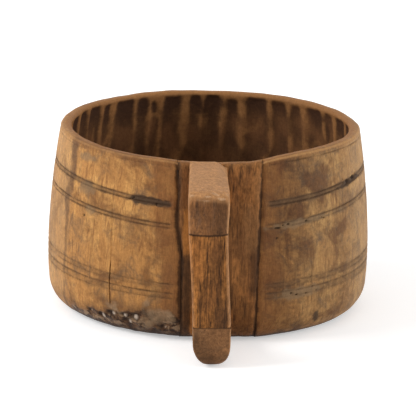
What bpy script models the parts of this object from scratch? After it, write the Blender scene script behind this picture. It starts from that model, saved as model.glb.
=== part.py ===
"""Handled wooden bowl: a turned wall, a let-in base, a flat stave and a handle built up from three blocks.

Metres, +Z up. The bowl's axis is the Z axis, the table is at Z = 0 and the handle points along -Y.
Profiles are lists of (distance from the axis, height) pairs.
"""

import math

import bmesh
import bpy
from mathutils import Matrix, Vector

# Fit between pieces that touch
GAP = 0.0003

# Bowl: outside shape
BOWL_HEIGHT = 0.1200
RIM_RADIUS = 0.0973
BELLY_RADIUS = 0.1050
BELLY_HEIGHT = 0.0380
SHOULDER_POWER = 1.7  # how late the wall starts to lean in above the belly
FOOT_TUCK = 0.0036  # how far the wall would lean in from the belly down to the table
FOOT_ROUND = 0.0190  # radius of the rounded lower edge
LIP_ROUND = 0.0024

# Bowl: inside shape
RIM_WALL = 0.0072
LOW_WALL = 0.0100
COVE_RADIUS = 0.0140  # hollow corner between the wall and the floor
FLOOR_HEIGHT = 0.0170

# Incised lines: pairs of turned grooves, by the height of each pair's middle
GROOVE_PAIR_HEIGHTS = (0.0329, 0.0410, 0.0775, 0.0929)
GROOVE_SPACING = 0.0030
GROOVE_WIDTH = 0.0016
GROOVE_DEPTH = 0.0008

# Base board: a flange that lies on a ledge in the wall, and a plug that fills the foot
LEDGE_HEIGHT = 0.0075
LEDGE_STEP = 0.0065  # how far the ledge's wall stands in from the wall above the cove
LEDGE_WIDTH = 0.0103
BASE_CHAMFER = 0.0010

# Stave: a flat board let into the front of the wall, wider at the rim than at the foot
STAVE_MIDDLE_X = 0.0004
STAVE_RIM_WIDTH = 0.0538
STAVE_FOOT_WIDTH = 0.0484
STAVE_INSET = 0.0034  # how far its flat face lies inside the round of the wall

# Pitch in the seams at both edges of the stave
PITCH_WIDTH = 0.0026
PITCH_DEPTH = 0.0018
PITCH_SUNK = 0.0002
PITCH_END = 0.0110  # how far from the foot it starts
PITCH_TOP = 0.0045  # how far below the rim it ends

# Handle
HANDLE_STANDOFF = 0.0520  # from the belly to the handle's outer face
HANDLE_THICKNESS = 0.0230  # of the grip, measured away from the bowl
UPPER_ARM_X = -0.0107  # middle of the outer face, at the elbow
LOWER_ARM_X = -0.0073  # the same, at the lower end
HANDLE_SWING = 0.0028  # how far the handle leans to the right on its way back to the belly
ARM_ROOT_DROP = 0.0022  # top of the upper arm below the rim, at the stave
ARM_SLOPE = 0.0046  # how much lower its top is at the elbow
ARM_ROOT_WIDTH = 0.0236
ELBOW_WIDTH = 0.0258
ELBOW_ROUND = 0.0075
UPPER_ARM_HEIGHT = 0.0268  # at the elbow
ARM_ARCH = 0.0040  # how far the arms get thinner between the grip and the stave
LOWER_ARM_HEIGHT = 0.0257
LOWER_ARM_WIDTH = 0.0238
LOWER_ARM_CLEARANCE = 0.0010  # its lowest point above the table
LOWER_END_ROUND = 0.0090
LOWER_ARM_RISE = 0.0060  # how much higher its underside is at the stave
GRIP_TOP_WIDTH = 0.0244
GRIP_FOOT_WIDTH = 0.0232
GRIP_FRONT_ROUND = 0.0024
GRIP_BACK_ROUND = 0.0060
EDGE_ROUND = 0.0022
KEEL_ROUND = 0.0116  # corners under the lower arm, seen from its end

# Tenons, wedges and dowels
TENON_WIDTH = 0.0110
UPPER_TENON_SHARE = 0.55  # of the arm's height
LOWER_TENON_SHARE = 0.40
LOWER_TENON_DEPTH = 0.0080
WEDGE_LENGTH = 0.0060
WEDGE_HEAD = 0.0024
WEDGE_TIP = 0.0010
GRIP_DOWEL_RADIUS = 0.0040
GRIP_DOWEL_LENGTH = 0.0240
STAVE_DOWEL_RADIUS = 0.0015
STAVE_DOWEL_LENGTH = 0.0140
STAVE_DOWEL_SHARES = {"lower": 0.45, "upper": 0.72}  # of the bowl's height
STAVE_DOWEL_SHIFT = 0.0008  # in from the middle of the wall, clear of the pitch
DOWEL_CHAMFER = 0.0005

# Facets
TURN_STEPS = 72
ARC_STEPS = 6
DOWEL_SIDES = 16

# Sizes that follow from the ones above
HANDLE_REACH = BELLY_RADIUS + HANDLE_STANDOFF
UPPER_JOINT_HEIGHT = BOWL_HEIGHT - ARM_ROOT_DROP - ARM_SLOPE - UPPER_ARM_HEIGHT
LOWER_JOINT_HEIGHT = LOWER_ARM_CLEARANCE + LOWER_ARM_HEIGHT
UPPER_TENON_HEIGHT = UPPER_TENON_SHARE * UPPER_ARM_HEIGHT
UPPER_TENON_LEVEL = UPPER_JOINT_HEIGHT + UPPER_TENON_SHARE * UPPER_ARM_HEIGHT
LOWER_TENON_HEIGHT = LOWER_TENON_SHARE * LOWER_ARM_HEIGHT
LOWER_TENON_LEVEL = (LOWER_ARM_CLEARANCE + LOWER_ARM_RISE + LOWER_JOINT_HEIGHT) / 2

# Helpers


def clear_scene():
    for thing in list(bpy.data.objects):
        bpy.data.objects.remove(thing, do_unlink=True)


def new_collection(name):
    made = bpy.data.collections.new(name)
    bpy.context.scene.collection.children.link(made)
    return made


def wood(name, colour, roughness):
    made = bpy.data.materials.new(name)
    made.use_nodes = True
    shader = made.node_tree.nodes["Principled BSDF"]
    shader.inputs["Base Color"].default_value = (*colour, 1.0)
    shader.inputs["Roughness"].default_value = roughness
    shader.inputs["Metallic"].default_value = 0.0
    return made


def add_object(name, mesh_data):
    """A new object that hangs on the bowl's axis, still in no list of pieces or cutters."""
    made = bpy.data.objects.new(name, mesh_data)
    made.parent = bowl_axis
    return made


def as_piece(thing, material):
    piece_list.objects.link(thing)
    thing.data.materials.append(material)
    return thing


def as_cutter(thing):
    cutter_list.objects.link(thing)
    thing.hide_render = True
    thing.display_type = "WIRE"
    return thing


def smooth(thing, angle):
    for face in thing.data.polygons:
        face.use_smooth = True
    thing.data.set_sharp_from_angle(angle=math.radians(angle))


def turned(name, profile, closed):
    """A profile that goes down its outer side, turned once round the Z axis."""
    shape = bmesh.new()
    points = [shape.verts.new((radius, 0.0, height)) for radius, height in profile]
    for first, second in zip(points, points[1:]):
        shape.edges.new((first, second))
    if closed:
        shape.edges.new((points[-1], points[0]))
    data = bpy.data.meshes.new(name)
    shape.to_mesh(data)
    shape.free()
    made = add_object(name, data)
    screw = made.modifiers.new("turn", "SCREW")
    screw.axis = "Z"
    screw.angle = math.tau
    screw.steps = TURN_STEPS
    screw.render_steps = TURN_STEPS
    screw.use_merge_vertices = True
    screw.merge_threshold = 0.00001
    screw.use_smooth_shade = True
    return made


def board(name, outline, side_x, soft=False):
    """A side outline of (y, z) points, stretched between side_x(-1, y, z) and side_x(+1, y, z).

    A soft board has the long edges of its two sides rounded.
    """
    shape = bmesh.new()
    face = shape.faces.new([shape.verts.new((0.0, y, z)) for y, z in outline])
    near = set(face.verts)
    grown = bmesh.ops.extrude_face_region(shape, geom=[face], use_keep_orig=True)
    far = {item for item in grown["geom"] if isinstance(item, bmesh.types.BMVert)}
    for side, corners in ((-1, near), (1, far)):
        for corner in corners:
            corner.co.x = side_x(side, corner.co.y, corner.co.z)
    bmesh.ops.recalc_face_normals(shape, faces=shape.faces)
    weight = shape.edges.layers.float.new("bevel_weight_edge")
    for edge in shape.edges:
        edge[weight] = near.issuperset(edge.verts) or far.issuperset(edge.verts)
    data = bpy.data.meshes.new(name)
    shape.to_mesh(data)
    shape.free()
    made = add_object(name, data)
    if soft:
        bevel = made.modifiers.new("soft edges", "BEVEL")
        bevel.limit_method = "WEIGHT"
        bevel.width = EDGE_ROUND
        bevel.segments = 3
    return made


def post(name, outline_at, bottom, top):
    """An upright piece between two heights. outline_at(z) gives its (x, y) points there."""
    shape = bmesh.new()
    face = shape.faces.new([shape.verts.new((x, y, bottom)) for x, y in outline_at(bottom)])
    grown = bmesh.ops.extrude_face_region(shape, geom=[face], use_keep_orig=True)
    upper = [item for item in grown["geom"] if isinstance(item, bmesh.types.BMVert)]
    for corner, (x, y) in zip(upper, outline_at(top)):
        corner.co = (x, y, top)
    bmesh.ops.recalc_face_normals(shape, faces=shape.faces)
    data = bpy.data.meshes.new(name)
    shape.to_mesh(data)
    shape.free()
    return add_object(name, data)


def round_bar(name, radius, length, place, turn):
    shape = bmesh.new()
    bmesh.ops.create_cone(
        shape,
        cap_ends=True,
        segments=DOWEL_SIDES,
        radius1=radius,
        radius2=radius,
        depth=length,
    )
    data = bpy.data.meshes.new(name)
    shape.to_mesh(data)
    shape.free()
    made = add_object(name, data)
    made.location = place
    made.rotation_euler = turn
    return made


def boolean(thing, other, operation):
    step = thing.modifiers.new(f"{operation.lower()} {other.name}", "BOOLEAN")
    step.operation = operation
    step.solver = "EXACT"
    step.object = other


def arc(centre, radius, start, end, steps=ARC_STEPS):
    """Points on a circle from one angle to another, both in degrees."""
    points = []
    for step in range(steps + 1):
        angle = math.radians(start + (end - start) * step / steps)
        points.append((centre[0] + radius * math.cos(angle), centre[1] + radius * math.sin(angle)))
    return points


def spread(first, last, count):
    return [first + (last - first) * step / count for step in range(count + 1)]


# Shape of the wall


def outer_radius(height):
    if height >= BELLY_HEIGHT:
        rise = (height - BELLY_HEIGHT) / (BOWL_HEIGHT - BELLY_HEIGHT)
        return BELLY_RADIUS - (BELLY_RADIUS - RIM_RADIUS) * rise**SHOULDER_POWER
    fall = (BELLY_HEIGHT - height) / BELLY_HEIGHT
    return BELLY_RADIUS - FOOT_TUCK * fall**2


def inner_radius(height):
    rise = (height - FLOOR_HEIGHT) / (BOWL_HEIGHT - FLOOR_HEIGHT)
    return outer_radius(height) - (LOW_WALL + (RIM_WALL - LOW_WALL) * rise)


def ledge_radius():
    return inner_radius(FLOOR_HEIGHT + COVE_RADIUS) - LEDGE_STEP


def foot_hole_radius():
    return ledge_radius() - LEDGE_WIDTH


def groove_heights():
    offsets = (GROOVE_SPACING / 2, -GROOVE_SPACING / 2)
    return sorted((pair + offset for pair in GROOVE_PAIR_HEIGHTS for offset in offsets), reverse=True)


def outer_side(with_grooves):
    """Down the outside, from under the lip to the flat foot."""
    levels = spread(BOWL_HEIGHT - LIP_ROUND, FOOT_ROUND, 14)[1:-1]
    points = [(outer_radius(level), level) for level in levels]
    if with_grooves:
        near = GROOVE_WIDTH
        grooves = groove_heights()
        points = [(r, z) for r, z in points if all(abs(z - groove) > near for groove in grooves)]
        for groove in grooves:
            for offset, depth in ((GROOVE_WIDTH / 2, 0), (0, GROOVE_DEPTH), (-GROOVE_WIDTH / 2, 0)):
                points.append((outer_radius(groove + offset) - depth, groove + offset))
        points.sort(key=lambda point: -point[1])
    foot_centre = (outer_radius(FOOT_ROUND) - FOOT_ROUND, FOOT_ROUND)
    return points + arc(foot_centre, FOOT_ROUND, 0, -90)


def inner_side():
    """Up the inside, from the foot's hole over the ledge and the cove to under the lip."""
    cove_top = FLOOR_HEIGHT + COVE_RADIUS
    cove_centre = (inner_radius(cove_top) - COVE_RADIUS, cove_top)
    start = -math.degrees(math.acos((ledge_radius() - cove_centre[0]) / COVE_RADIUS))
    points = [(foot_hole_radius(), 0.0), (foot_hole_radius(), LEDGE_HEIGHT)]
    points += [(ledge_radius(), LEDGE_HEIGHT)]
    points += arc(cove_centre, COVE_RADIUS, start, 0, 4)
    levels = spread(cove_top, BOWL_HEIGHT - LIP_ROUND, 7)[1:-1]
    return points + [(inner_radius(level), level) for level in levels]


def inner_lip():
    level = BOWL_HEIGHT - LIP_ROUND
    return arc((inner_radius(level) + LIP_ROUND, level), LIP_ROUND, 180, 90, 3)


def outer_lip():
    level = BOWL_HEIGHT - LIP_ROUND
    return arc((outer_radius(level) - LIP_ROUND, level), LIP_ROUND, 90, 0, 3)


def wall_profile(with_grooves):
    return outer_side(with_grooves) + inner_side() + inner_lip() + outer_lip()


# Shape of the slot, the stave and the seams


def stave_half_width(height):
    share = height / BOWL_HEIGHT
    return (STAVE_FOOT_WIDTH + (STAVE_RIM_WIDTH - STAVE_FOOT_WIDTH) * share) / 2


def seam_x(side, height):
    """The seam's place on the left (-1) or right (+1) of the stave."""
    return STAVE_MIDDLE_X + side * stave_half_width(height)


def stave_face(height):
    """Y of the stave's flat outer face."""
    return STAVE_INSET - outer_radius(height)


def stave_outline():
    return [(STAVE_INSET - radius, height) for radius, height in wall_profile(False)]


def shoulder_outline():
    """All that lies inside the stave's outer face, for cutting the arms to it."""
    skin = outer_lip() + outer_side(False)
    deep = -foot_hole_radius() / 2
    face = [(STAVE_INSET - GAP - radius, height) for radius, height in skin]
    return [(deep, face[0][1])] + face + [(deep, face[-1][1])]


def seam_inset(side):
    """How far the deeper of wall and stave lies inside the full round along a seam."""
    offset = abs(seam_x(side, BOWL_HEIGHT))
    round_off = RIM_RADIUS - math.sqrt(RIM_RADIUS**2 - offset**2)
    return max(round_off, STAVE_INSET)


def pitch_outline(side, grow, outside):
    """Side view of a seam filling; the cutter for it is grown and runs out past the surface."""
    inset = seam_inset(side) + PITCH_SUNK
    levels = spread(PITCH_END - grow, BOWL_HEIGHT - PITCH_TOP + grow, 10)
    skin = [(inset - pitch_radius(level) - outside, level) for level in levels]
    back = [(inset + PITCH_DEPTH + grow - pitch_radius(level), level) for level in reversed(levels)]
    return skin + back


def pitch_radius(height):
    """Outside of the bowl, with the rounded lower edge."""
    if height >= FOOT_ROUND:
        return outer_radius(height)
    below = FOOT_ROUND - height
    return outer_radius(FOOT_ROUND) - FOOT_ROUND + math.sqrt(FOOT_ROUND**2 - below**2)


def pitch_strip(name, side, grow, outside=0.0):
    half = PITCH_WIDTH / 2 + grow
    return board(name, pitch_outline(side, grow, outside), lambda edge, y, z: seam_x(side, z) + edge * half)


# Shape of the handle


def grip_back():
    """Y of the face of the grip that the fingers curl round."""
    return HANDLE_THICKNESS - HANDLE_REACH


def arm_root():
    """Y well inside the stave, where the arms start before they are cut to it."""
    return STAVE_INSET - ledge_radius()


def swing(y):
    """How far the handle's middle lies to the right of where it is at the outer face."""
    return HANDLE_SWING * (HANDLE_REACH + y) / HANDLE_STANDOFF


def upper_root_x():
    return UPPER_ARM_X + swing(stave_face(UPPER_TENON_LEVEL))


def lower_root_x():
    return LOWER_ARM_X + swing(stave_face(LOWER_TENON_LEVEL))


def upper_arm_outline():
    root_top = BOWL_HEIGHT - ARM_ROOT_DROP
    elbow_top = root_top - ARM_SLOPE
    elbow = (ELBOW_ROUND - HANDLE_REACH, elbow_top - ELBOW_ROUND)
    under = UPPER_JOINT_HEIGHT
    points = [(arm_root(), root_top)]
    points += arc(elbow, ELBOW_ROUND, 90, 180)
    points += [(-HANDLE_REACH, under), (grip_back() - EDGE_ROUND, under)]
    points += [(y, under + lift) for y, lift in arch_points()]
    return points


def lower_arm_outline():
    low = LOWER_ARM_CLEARANCE
    end = (LOWER_END_ROUND - HANDLE_REACH, low + LOWER_END_ROUND)
    points = [(-HANDLE_REACH, LOWER_JOINT_HEIGHT)]
    points += arc(end, LOWER_END_ROUND, 180, 270)
    points += [(arm_root(), low + LOWER_ARM_RISE)]
    points += [(y, LOWER_JOINT_HEIGHT - lift) for y, lift in reversed(arch_points())]
    points += [(grip_back() - EDGE_ROUND, LOWER_JOINT_HEIGHT)]
    return points


def arch_points():
    """The hollow of an arm's inner face between the grip and the stave, as (y, depth)."""
    places = spread(grip_back() + EDGE_ROUND, arm_root(), 6)
    return [(y, ARM_ARCH * math.sin(math.pi / 2 * step / 6) ** 1.5) for step, y in enumerate(places)][1:]


def upper_arm_side(edge, y, z):
    share = (y - arm_root()) / (-HANDLE_REACH - arm_root())
    width = ARM_ROOT_WIDTH + (ELBOW_WIDTH - ARM_ROOT_WIDTH) * share
    return UPPER_ARM_X + swing(y) + edge * width / 2


def lower_arm_side(edge, y, z):
    return LOWER_ARM_X + swing(y) + edge * LOWER_ARM_WIDTH / 2


def keel_outline():
    """End view of the lower arm, as (x from its middle, height): a U a little wider than the arm."""
    half = LOWER_ARM_WIDTH / 2 + EDGE_ROUND / 4
    level = LOWER_ARM_CLEARANCE + KEEL_ROUND - GAP
    points = arc((KEEL_ROUND - half, level), KEEL_ROUND, 180, 270)
    points += arc((half - KEEL_ROUND, level), KEEL_ROUND, 270, 360)
    top = LOWER_JOINT_HEIGHT + KEEL_ROUND
    return points + [(half, top), (-half, top)]


def grip_share(height):
    return (height - LOWER_JOINT_HEIGHT) / (UPPER_JOINT_HEIGHT - LOWER_JOINT_HEIGHT)


def grip_middle(height):
    return LOWER_ARM_X + (UPPER_ARM_X - LOWER_ARM_X) * grip_share(height)


def grip_outline(height):
    """Plan of the grip: flat outer face with eased edges, rounder towards the fingers."""
    half = (GRIP_FOOT_WIDTH + (GRIP_TOP_WIDTH - GRIP_FOOT_WIDTH) * grip_share(height)) / 2
    middle = grip_middle(height)
    front = GRIP_FRONT_ROUND - HANDLE_REACH
    back = grip_back() - GRIP_BACK_ROUND
    points = arc((middle + half - GRIP_FRONT_ROUND, front), GRIP_FRONT_ROUND, 270, 360, 3)
    points += arc((middle + half - GRIP_BACK_ROUND, back), GRIP_BACK_ROUND, 0, 90, 5)
    points += arc((middle - half + GRIP_BACK_ROUND, back), GRIP_BACK_ROUND, 90, 180, 5)
    points += arc((middle - half + GRIP_FRONT_ROUND, front), GRIP_FRONT_ROUND, 180, 270, 3)
    return [(x + swing(y), y) for x, y in points]


# Shape of the joints


def block(name, middle_x, width, y_range, z_range):
    """A plain box, for tenons and for the holes that take them."""
    (near, far), (low, high) = y_range, z_range
    outline = [(near, low), (far, low), (far, high), (near, high)]
    return board(name, outline, lambda edge, y, z: middle_x + edge * width / 2)


def upper_tenon(name, grow, inner_end):
    half = UPPER_TENON_HEIGHT / 2 + grow
    levels = (UPPER_TENON_LEVEL - half, UPPER_TENON_LEVEL + half)
    outer_end = stave_face(UPPER_TENON_LEVEL) - 2 * EDGE_ROUND
    return block(name, upper_root_x(), TENON_WIDTH + 2 * grow, (outer_end, inner_end), levels)


def lower_tenon(name, grow):
    half = LOWER_TENON_HEIGHT / 2 + grow
    levels = (LOWER_TENON_LEVEL - half, LOWER_TENON_LEVEL + half)
    outer_end = stave_face(LOWER_TENON_LEVEL) - 2 * EDGE_ROUND
    return block(name, lower_root_x(), TENON_WIDTH + 2 * grow, (outer_end, lower_tenon_end() + grow), levels)


def upper_tenon_end():
    """Y of the upper tenon's end, flush with the inside of the stave where that is thinnest."""
    return STAVE_INSET - inner_radius(UPPER_TENON_LEVEL + UPPER_TENON_HEIGHT / 2) - GAP


def lower_tenon_end():
    return stave_face(LOWER_TENON_LEVEL - LOWER_TENON_HEIGHT / 2) + LOWER_TENON_DEPTH


def wedge(name, middle_x, end, level, grow):
    """A slip of wood that lies flat, thick at the tenon's end and thin towards the arm."""
    head = WEDGE_HEAD / 2 + grow
    tip = WEDGE_TIP / 2 + grow
    tip_y = end - WEDGE_LENGTH - grow
    head_y = end + 4 * grow
    outline = [(head_y, level - head), (tip_y, level - tip), (tip_y, level + tip), (head_y, level + head)]
    half = TENON_WIDTH / 2 - GAP + 4 * grow
    return board(name, outline, lambda edge, y, z: middle_x + edge * half)


def grip_dowel(name, middle_x, level, grow):
    middle_y = HANDLE_THICKNESS / 2 - HANDLE_REACH
    place = Vector((middle_x + swing(middle_y), middle_y, level))
    return round_bar(name, GRIP_DOWEL_RADIUS + grow, GRIP_DOWEL_LENGTH + 2 * grow, place, (0.0, 0.0, 0.0))


def stave_dowel(name, side, level, grow):
    """A thin pin across a seam, half way between the stave's line and the wall's curve."""
    seam = seam_x(side, level)
    depth = (outer_radius(level) + inner_radius(level)) / 2 - seam_inset(side) - STAVE_DOWEL_SHIFT
    slant = math.asin(seam / outer_radius(level)) / 2
    turn = (Matrix.Rotation(slant, 4, "Z") @ Matrix.Rotation(math.pi / 2, 4, "Y")).to_euler()
    place = Vector((seam, -depth, level))
    return round_bar(name, STAVE_DOWEL_RADIUS + grow, STAVE_DOWEL_LENGTH + 2 * grow, place, turn)


def chamfer_ends(thing):
    bevel = thing.modifiers.new("chamfer", "BEVEL")
    bevel.limit_method = "ANGLE"
    bevel.angle_limit = math.radians(60)
    bevel.width = DOWEL_CHAMFER
    bevel.segments = 1


# Start with an empty scene

clear_scene()
piece_list = new_collection("handled_wooden_bowl")
cutter_list = new_collection("cutters")
bowl_axis = bpy.data.objects.new("bowl_axis", None)
bpy.context.scene.collection.objects.link(bowl_axis)

turned_wood = wood("turned_wood", (0.34, 0.165, 0.062), 0.50)
base_wood = wood("base_wood", (0.085, 0.043, 0.022), 0.60)
stave_wood = wood("stave_wood", (0.135, 0.058, 0.024), 0.48)
upper_arm_wood = wood("upper_arm_wood", (0.30, 0.165, 0.085), 0.42)
grip_wood = wood("grip_wood", (0.17, 0.073, 0.028), 0.40)
lower_arm_wood = wood("lower_arm_wood", (0.16, 0.080, 0.036), 0.40)
peg_wood = wood("peg_wood", (0.42, 0.27, 0.13), 0.55)
pitch = wood("pitch", (0.012, 0.010, 0.008), 0.35)

sides = {"left": -1, "right": 1}
seam_pins = [(name, level) for name in sides for level in STAVE_DOWEL_SHARES]

# Wall: turned, with a slot at the front for the stave

bowl_wall = as_piece(turned("bowl_wall", wall_profile(True), closed=True), turned_wood)
slot_ends = (-BELLY_RADIUS - 2 * LIP_ROUND, -foot_hole_radius() / 2)
slot_outline = [
    (slot_ends[0], -LIP_ROUND),
    (slot_ends[1], -LIP_ROUND),
    (slot_ends[1], BOWL_HEIGHT + LIP_ROUND),
    (slot_ends[0], BOWL_HEIGHT + LIP_ROUND),
]
slot = as_cutter(board("slot", slot_outline, lambda edge, y, z: seam_x(edge, z) + edge * GAP / 2))
boolean(bowl_wall, slot, "DIFFERENCE")

# Stave: the wall's section, straight instead of round

handle_stave = as_piece(
    board("handle_stave", stave_outline(), lambda edge, y, z: seam_x(edge, z) - edge * GAP / 2), stave_wood
)
upper_mortise = as_cutter(upper_tenon("upper_mortise", GAP, slot_ends[1]))
lower_mortise = as_cutter(lower_tenon("lower_mortise", GAP))
boolean(handle_stave, upper_mortise, "DIFFERENCE")
boolean(handle_stave, lower_mortise, "DIFFERENCE")

# Pitch in the two seams

for name, side in sides.items():
    as_piece(pitch_strip(f"seam_pitch_{name}", side, 0.0), pitch)
    rebate = as_cutter(pitch_strip(f"seam_rebate_{name}", side, GAP, outside=STAVE_INSET))
    boolean(bowl_wall, rebate, "DIFFERENCE")
    boolean(handle_stave, rebate, "DIFFERENCE")

# Pins across the two seams

for name, level in seam_pins:
    height = STAVE_DOWEL_SHARES[level] * BOWL_HEIGHT
    pin = as_piece(stave_dowel(f"stave_dowel_{name}_{level}", sides[name], height, 0.0), peg_wood)
    chamfer_ends(pin)
    hole = as_cutter(stave_dowel(f"stave_hole_{name}_{level}", sides[name], height, GAP))
    boolean(bowl_wall, hole, "DIFFERENCE")
    boolean(handle_stave, hole, "DIFFERENCE")

# Base board: flange and plug, with a flat towards the stave

flange_radius = ledge_radius() - GAP
plug_radius = foot_hole_radius() - GAP
base_profile = [
    (0.0, FLOOR_HEIGHT),
    (flange_radius - BASE_CHAMFER, FLOOR_HEIGHT),
    (flange_radius, FLOOR_HEIGHT - BASE_CHAMFER),
    (flange_radius, LEDGE_HEIGHT + GAP),
    (plug_radius, LEDGE_HEIGHT + GAP),
    (plug_radius, 0.0),
    (0.0, 0.0),
]
base_board = as_piece(turned("base_board", base_profile, closed=False), base_wood)
flange_flat = STAVE_INSET - flange_radius
plug_flat = STAVE_INSET - plug_radius
trim_outline = [
    (slot_ends[0], -LIP_ROUND),
    (plug_flat, -LIP_ROUND),
    (plug_flat, LEDGE_HEIGHT + GAP),
    (flange_flat, LEDGE_HEIGHT + GAP),
    (flange_flat, 2 * FLOOR_HEIGHT),
    (slot_ends[0], 2 * FLOOR_HEIGHT),
]
base_trim = as_cutter(board("base_trim", trim_outline, lambda edge, y, z: edge * BELLY_RADIUS))
boolean(base_board, base_trim, "DIFFERENCE")

# Arms: shaped boards, cut to the stave's face, each with a tenon

shoulder = as_cutter(board("shoulder", shoulder_outline(), lambda edge, y, z: edge * STAVE_RIM_WIDTH))

handle_upper_arm = as_piece(
    board("handle_upper_arm", upper_arm_outline(), upper_arm_side, soft=True), upper_arm_wood
)
boolean(handle_upper_arm, shoulder, "DIFFERENCE")
boolean(handle_upper_arm, as_cutter(upper_tenon("upper_tenon", 0.0, upper_tenon_end())), "UNION")

handle_lower_arm = as_piece(
    board("handle_lower_arm", lower_arm_outline(), lower_arm_side, soft=True), lower_arm_wood
)
keel = as_cutter(board("keel", keel_outline(), lambda edge, y, z: edge * HANDLE_REACH))
keel.location = (LOWER_ARM_X, -HANDLE_REACH, 0.0)
keel.rotation_euler.z = -math.pi / 2 - math.atan(HANDLE_SWING / HANDLE_STANDOFF)
boolean(handle_lower_arm, keel, "INTERSECT")
boolean(handle_lower_arm, shoulder, "DIFFERENCE")
boolean(handle_lower_arm, as_cutter(lower_tenon("lower_tenon", 0.0)), "UNION")

# Grip: an upright between the arms

handle_grip = as_piece(
    post("handle_grip", grip_outline, LOWER_JOINT_HEIGHT + GAP, UPPER_JOINT_HEIGHT - GAP), grip_wood
)

# Wedges in the tenons

arms = {
    "upper": (handle_upper_arm, upper_root_x(), upper_tenon_end(), UPPER_TENON_LEVEL, UPPER_JOINT_HEIGHT),
    "lower": (handle_lower_arm, lower_root_x(), lower_tenon_end(), LOWER_TENON_LEVEL, LOWER_JOINT_HEIGHT),
}
for name, (arm, middle_x, end, level, joint) in arms.items():
    as_piece(wedge(f"{name}_tenon_wedge", middle_x, end, level, 0.0), peg_wood)
    boolean(arm, as_cutter(wedge(f"{name}_kerf", middle_x, end, level, GAP)), "DIFFERENCE")

# Dowels between the grip and the arms

for name, (arm, middle_x, end, level, joint) in arms.items():
    place_x = grip_middle(joint)
    chamfer_ends(as_piece(grip_dowel(f"grip_{name}_dowel", place_x, joint, 0.0), peg_wood))
    hole = as_cutter(grip_dowel(f"grip_{name}_hole", place_x, joint, GAP))
    boolean(arm, hole, "DIFFERENCE")
    boolean(handle_grip, hole, "DIFFERENCE")

for piece in piece_list.objects:
    smooth(piece, 30)
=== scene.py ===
# %% [markdown]
# # An old wooden bowl with a handle
# The bowl is a hollowed wall with lines cut round it, a bottom board, a flat stave let into the front,
# and a handle of three blocks. A plain solid model gives the sizes. Here each solid that shows gets
# a finer mesh in the same place, with its tool marks and wear, and a wood finish made of nodes.

# %% Load the solid model
import math

import bpy
import numpy as np
from mathutils import Matrix, Vector, noise


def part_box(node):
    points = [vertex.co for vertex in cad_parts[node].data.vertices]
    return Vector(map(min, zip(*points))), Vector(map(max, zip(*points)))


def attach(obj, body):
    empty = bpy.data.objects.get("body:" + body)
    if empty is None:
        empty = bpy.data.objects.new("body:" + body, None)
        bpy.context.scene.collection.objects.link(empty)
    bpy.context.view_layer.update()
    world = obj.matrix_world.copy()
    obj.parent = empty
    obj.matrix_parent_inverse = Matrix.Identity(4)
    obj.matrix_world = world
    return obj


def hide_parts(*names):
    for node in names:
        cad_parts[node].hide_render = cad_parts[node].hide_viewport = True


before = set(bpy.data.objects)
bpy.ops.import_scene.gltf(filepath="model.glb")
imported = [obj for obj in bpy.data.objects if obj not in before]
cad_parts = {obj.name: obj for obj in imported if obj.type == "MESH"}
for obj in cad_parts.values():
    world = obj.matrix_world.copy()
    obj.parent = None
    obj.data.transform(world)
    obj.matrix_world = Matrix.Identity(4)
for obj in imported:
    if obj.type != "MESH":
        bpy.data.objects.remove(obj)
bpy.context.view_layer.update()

bpy.ops.object.select_all(action="DESELECT")

# %% [markdown]
# ## Camera
# The picture was taken from far away with a long lens: the rim's ellipse and the handle show almost no
# perspective. The camera stands a little to the left of the handle, looks down by about 15 degrees and
# leans slightly. The focal length is given in pixels of the square picture, and turned into millimetres.

# %% Camera
PICTURE_SIDE = 416  # pixels
FOCAL_PIXELS = 4570
VIEW_DISTANCE = 3.0
VIEW_DOWN = math.radians(14.8)
VIEW_SIDE = math.radians(-4.0)
VIEW_ROLL = math.radians(1.2)
BOWL_MIDDLE = Vector((0.0, 0.0, 0.058))
MIDDLE_RIGHT, MIDDLE_BELOW = 0.5, 7.3  # pixels from the picture's centre to the bowl's middle

lens = bpy.data.cameras.new("camera")
lens.sensor_width = 36.0
lens.lens = FOCAL_PIXELS / PICTURE_SIDE * lens.sensor_width
camera = bpy.data.objects.new("camera", lens)
bpy.context.scene.collection.objects.link(camera)
aim = (
    Matrix.Rotation(VIEW_SIDE, 4, "Z")
    @ Matrix.Rotation(math.pi / 2 - VIEW_DOWN, 4, "X")
    @ Matrix.Rotation(VIEW_ROLL, 4, "Z")
)
metres_per_pixel = VIEW_DISTANCE / FOCAL_PIXELS
offset = Vector((-MIDDLE_RIGHT * metres_per_pixel, MIDDLE_BELOW * metres_per_pixel, VIEW_DISTANCE))
camera.matrix_world = Matrix.Translation(BOWL_MIDDLE) @ aim @ Matrix.Translation(offset)
bpy.context.scene.camera = camera
bpy.context.scene.view_settings.view_transform = "Standard"
print("camera at", [round(place, 3) for place in camera.matrix_world.translation])

# %% [markdown]
# ## Node helpers
# Every finish below is a small graph of nodes. A few helpers keep the graphs readable: they fill sockets
# with numbers or links, add a node, mix two colours, turn a range into a mask, do sums and make noise.

# %% Node helpers
WHITE = (1.0, 1.0, 1.0, 1.0)


def fill_sockets(tree, node, inputs):
    """Give each socket its value, or a link where the value is itself a socket."""
    for name, value in inputs.items():
        if isinstance(value, bpy.types.NodeSocket):
            tree.links.new(value, node.inputs[name])
        else:
            node.inputs[name].default_value = value


def add_node(tree, kind, inputs=None, **settings):
    made = tree.nodes.new(kind)
    for name, value in settings.items():
        setattr(made, name, value)
    fill_sockets(tree, made, inputs or {})
    return made


def mix_colour(tree, share, first, second, blend="MIX"):
    """The colour sockets of a Mix node come after those for numbers and vectors: 6, 7 and output 2."""
    sockets = {0: share, 6: first, 7: second}
    return add_node(tree, "ShaderNodeMix", sockets, data_type="RGBA", blend_type=blend).outputs[2]


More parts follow.
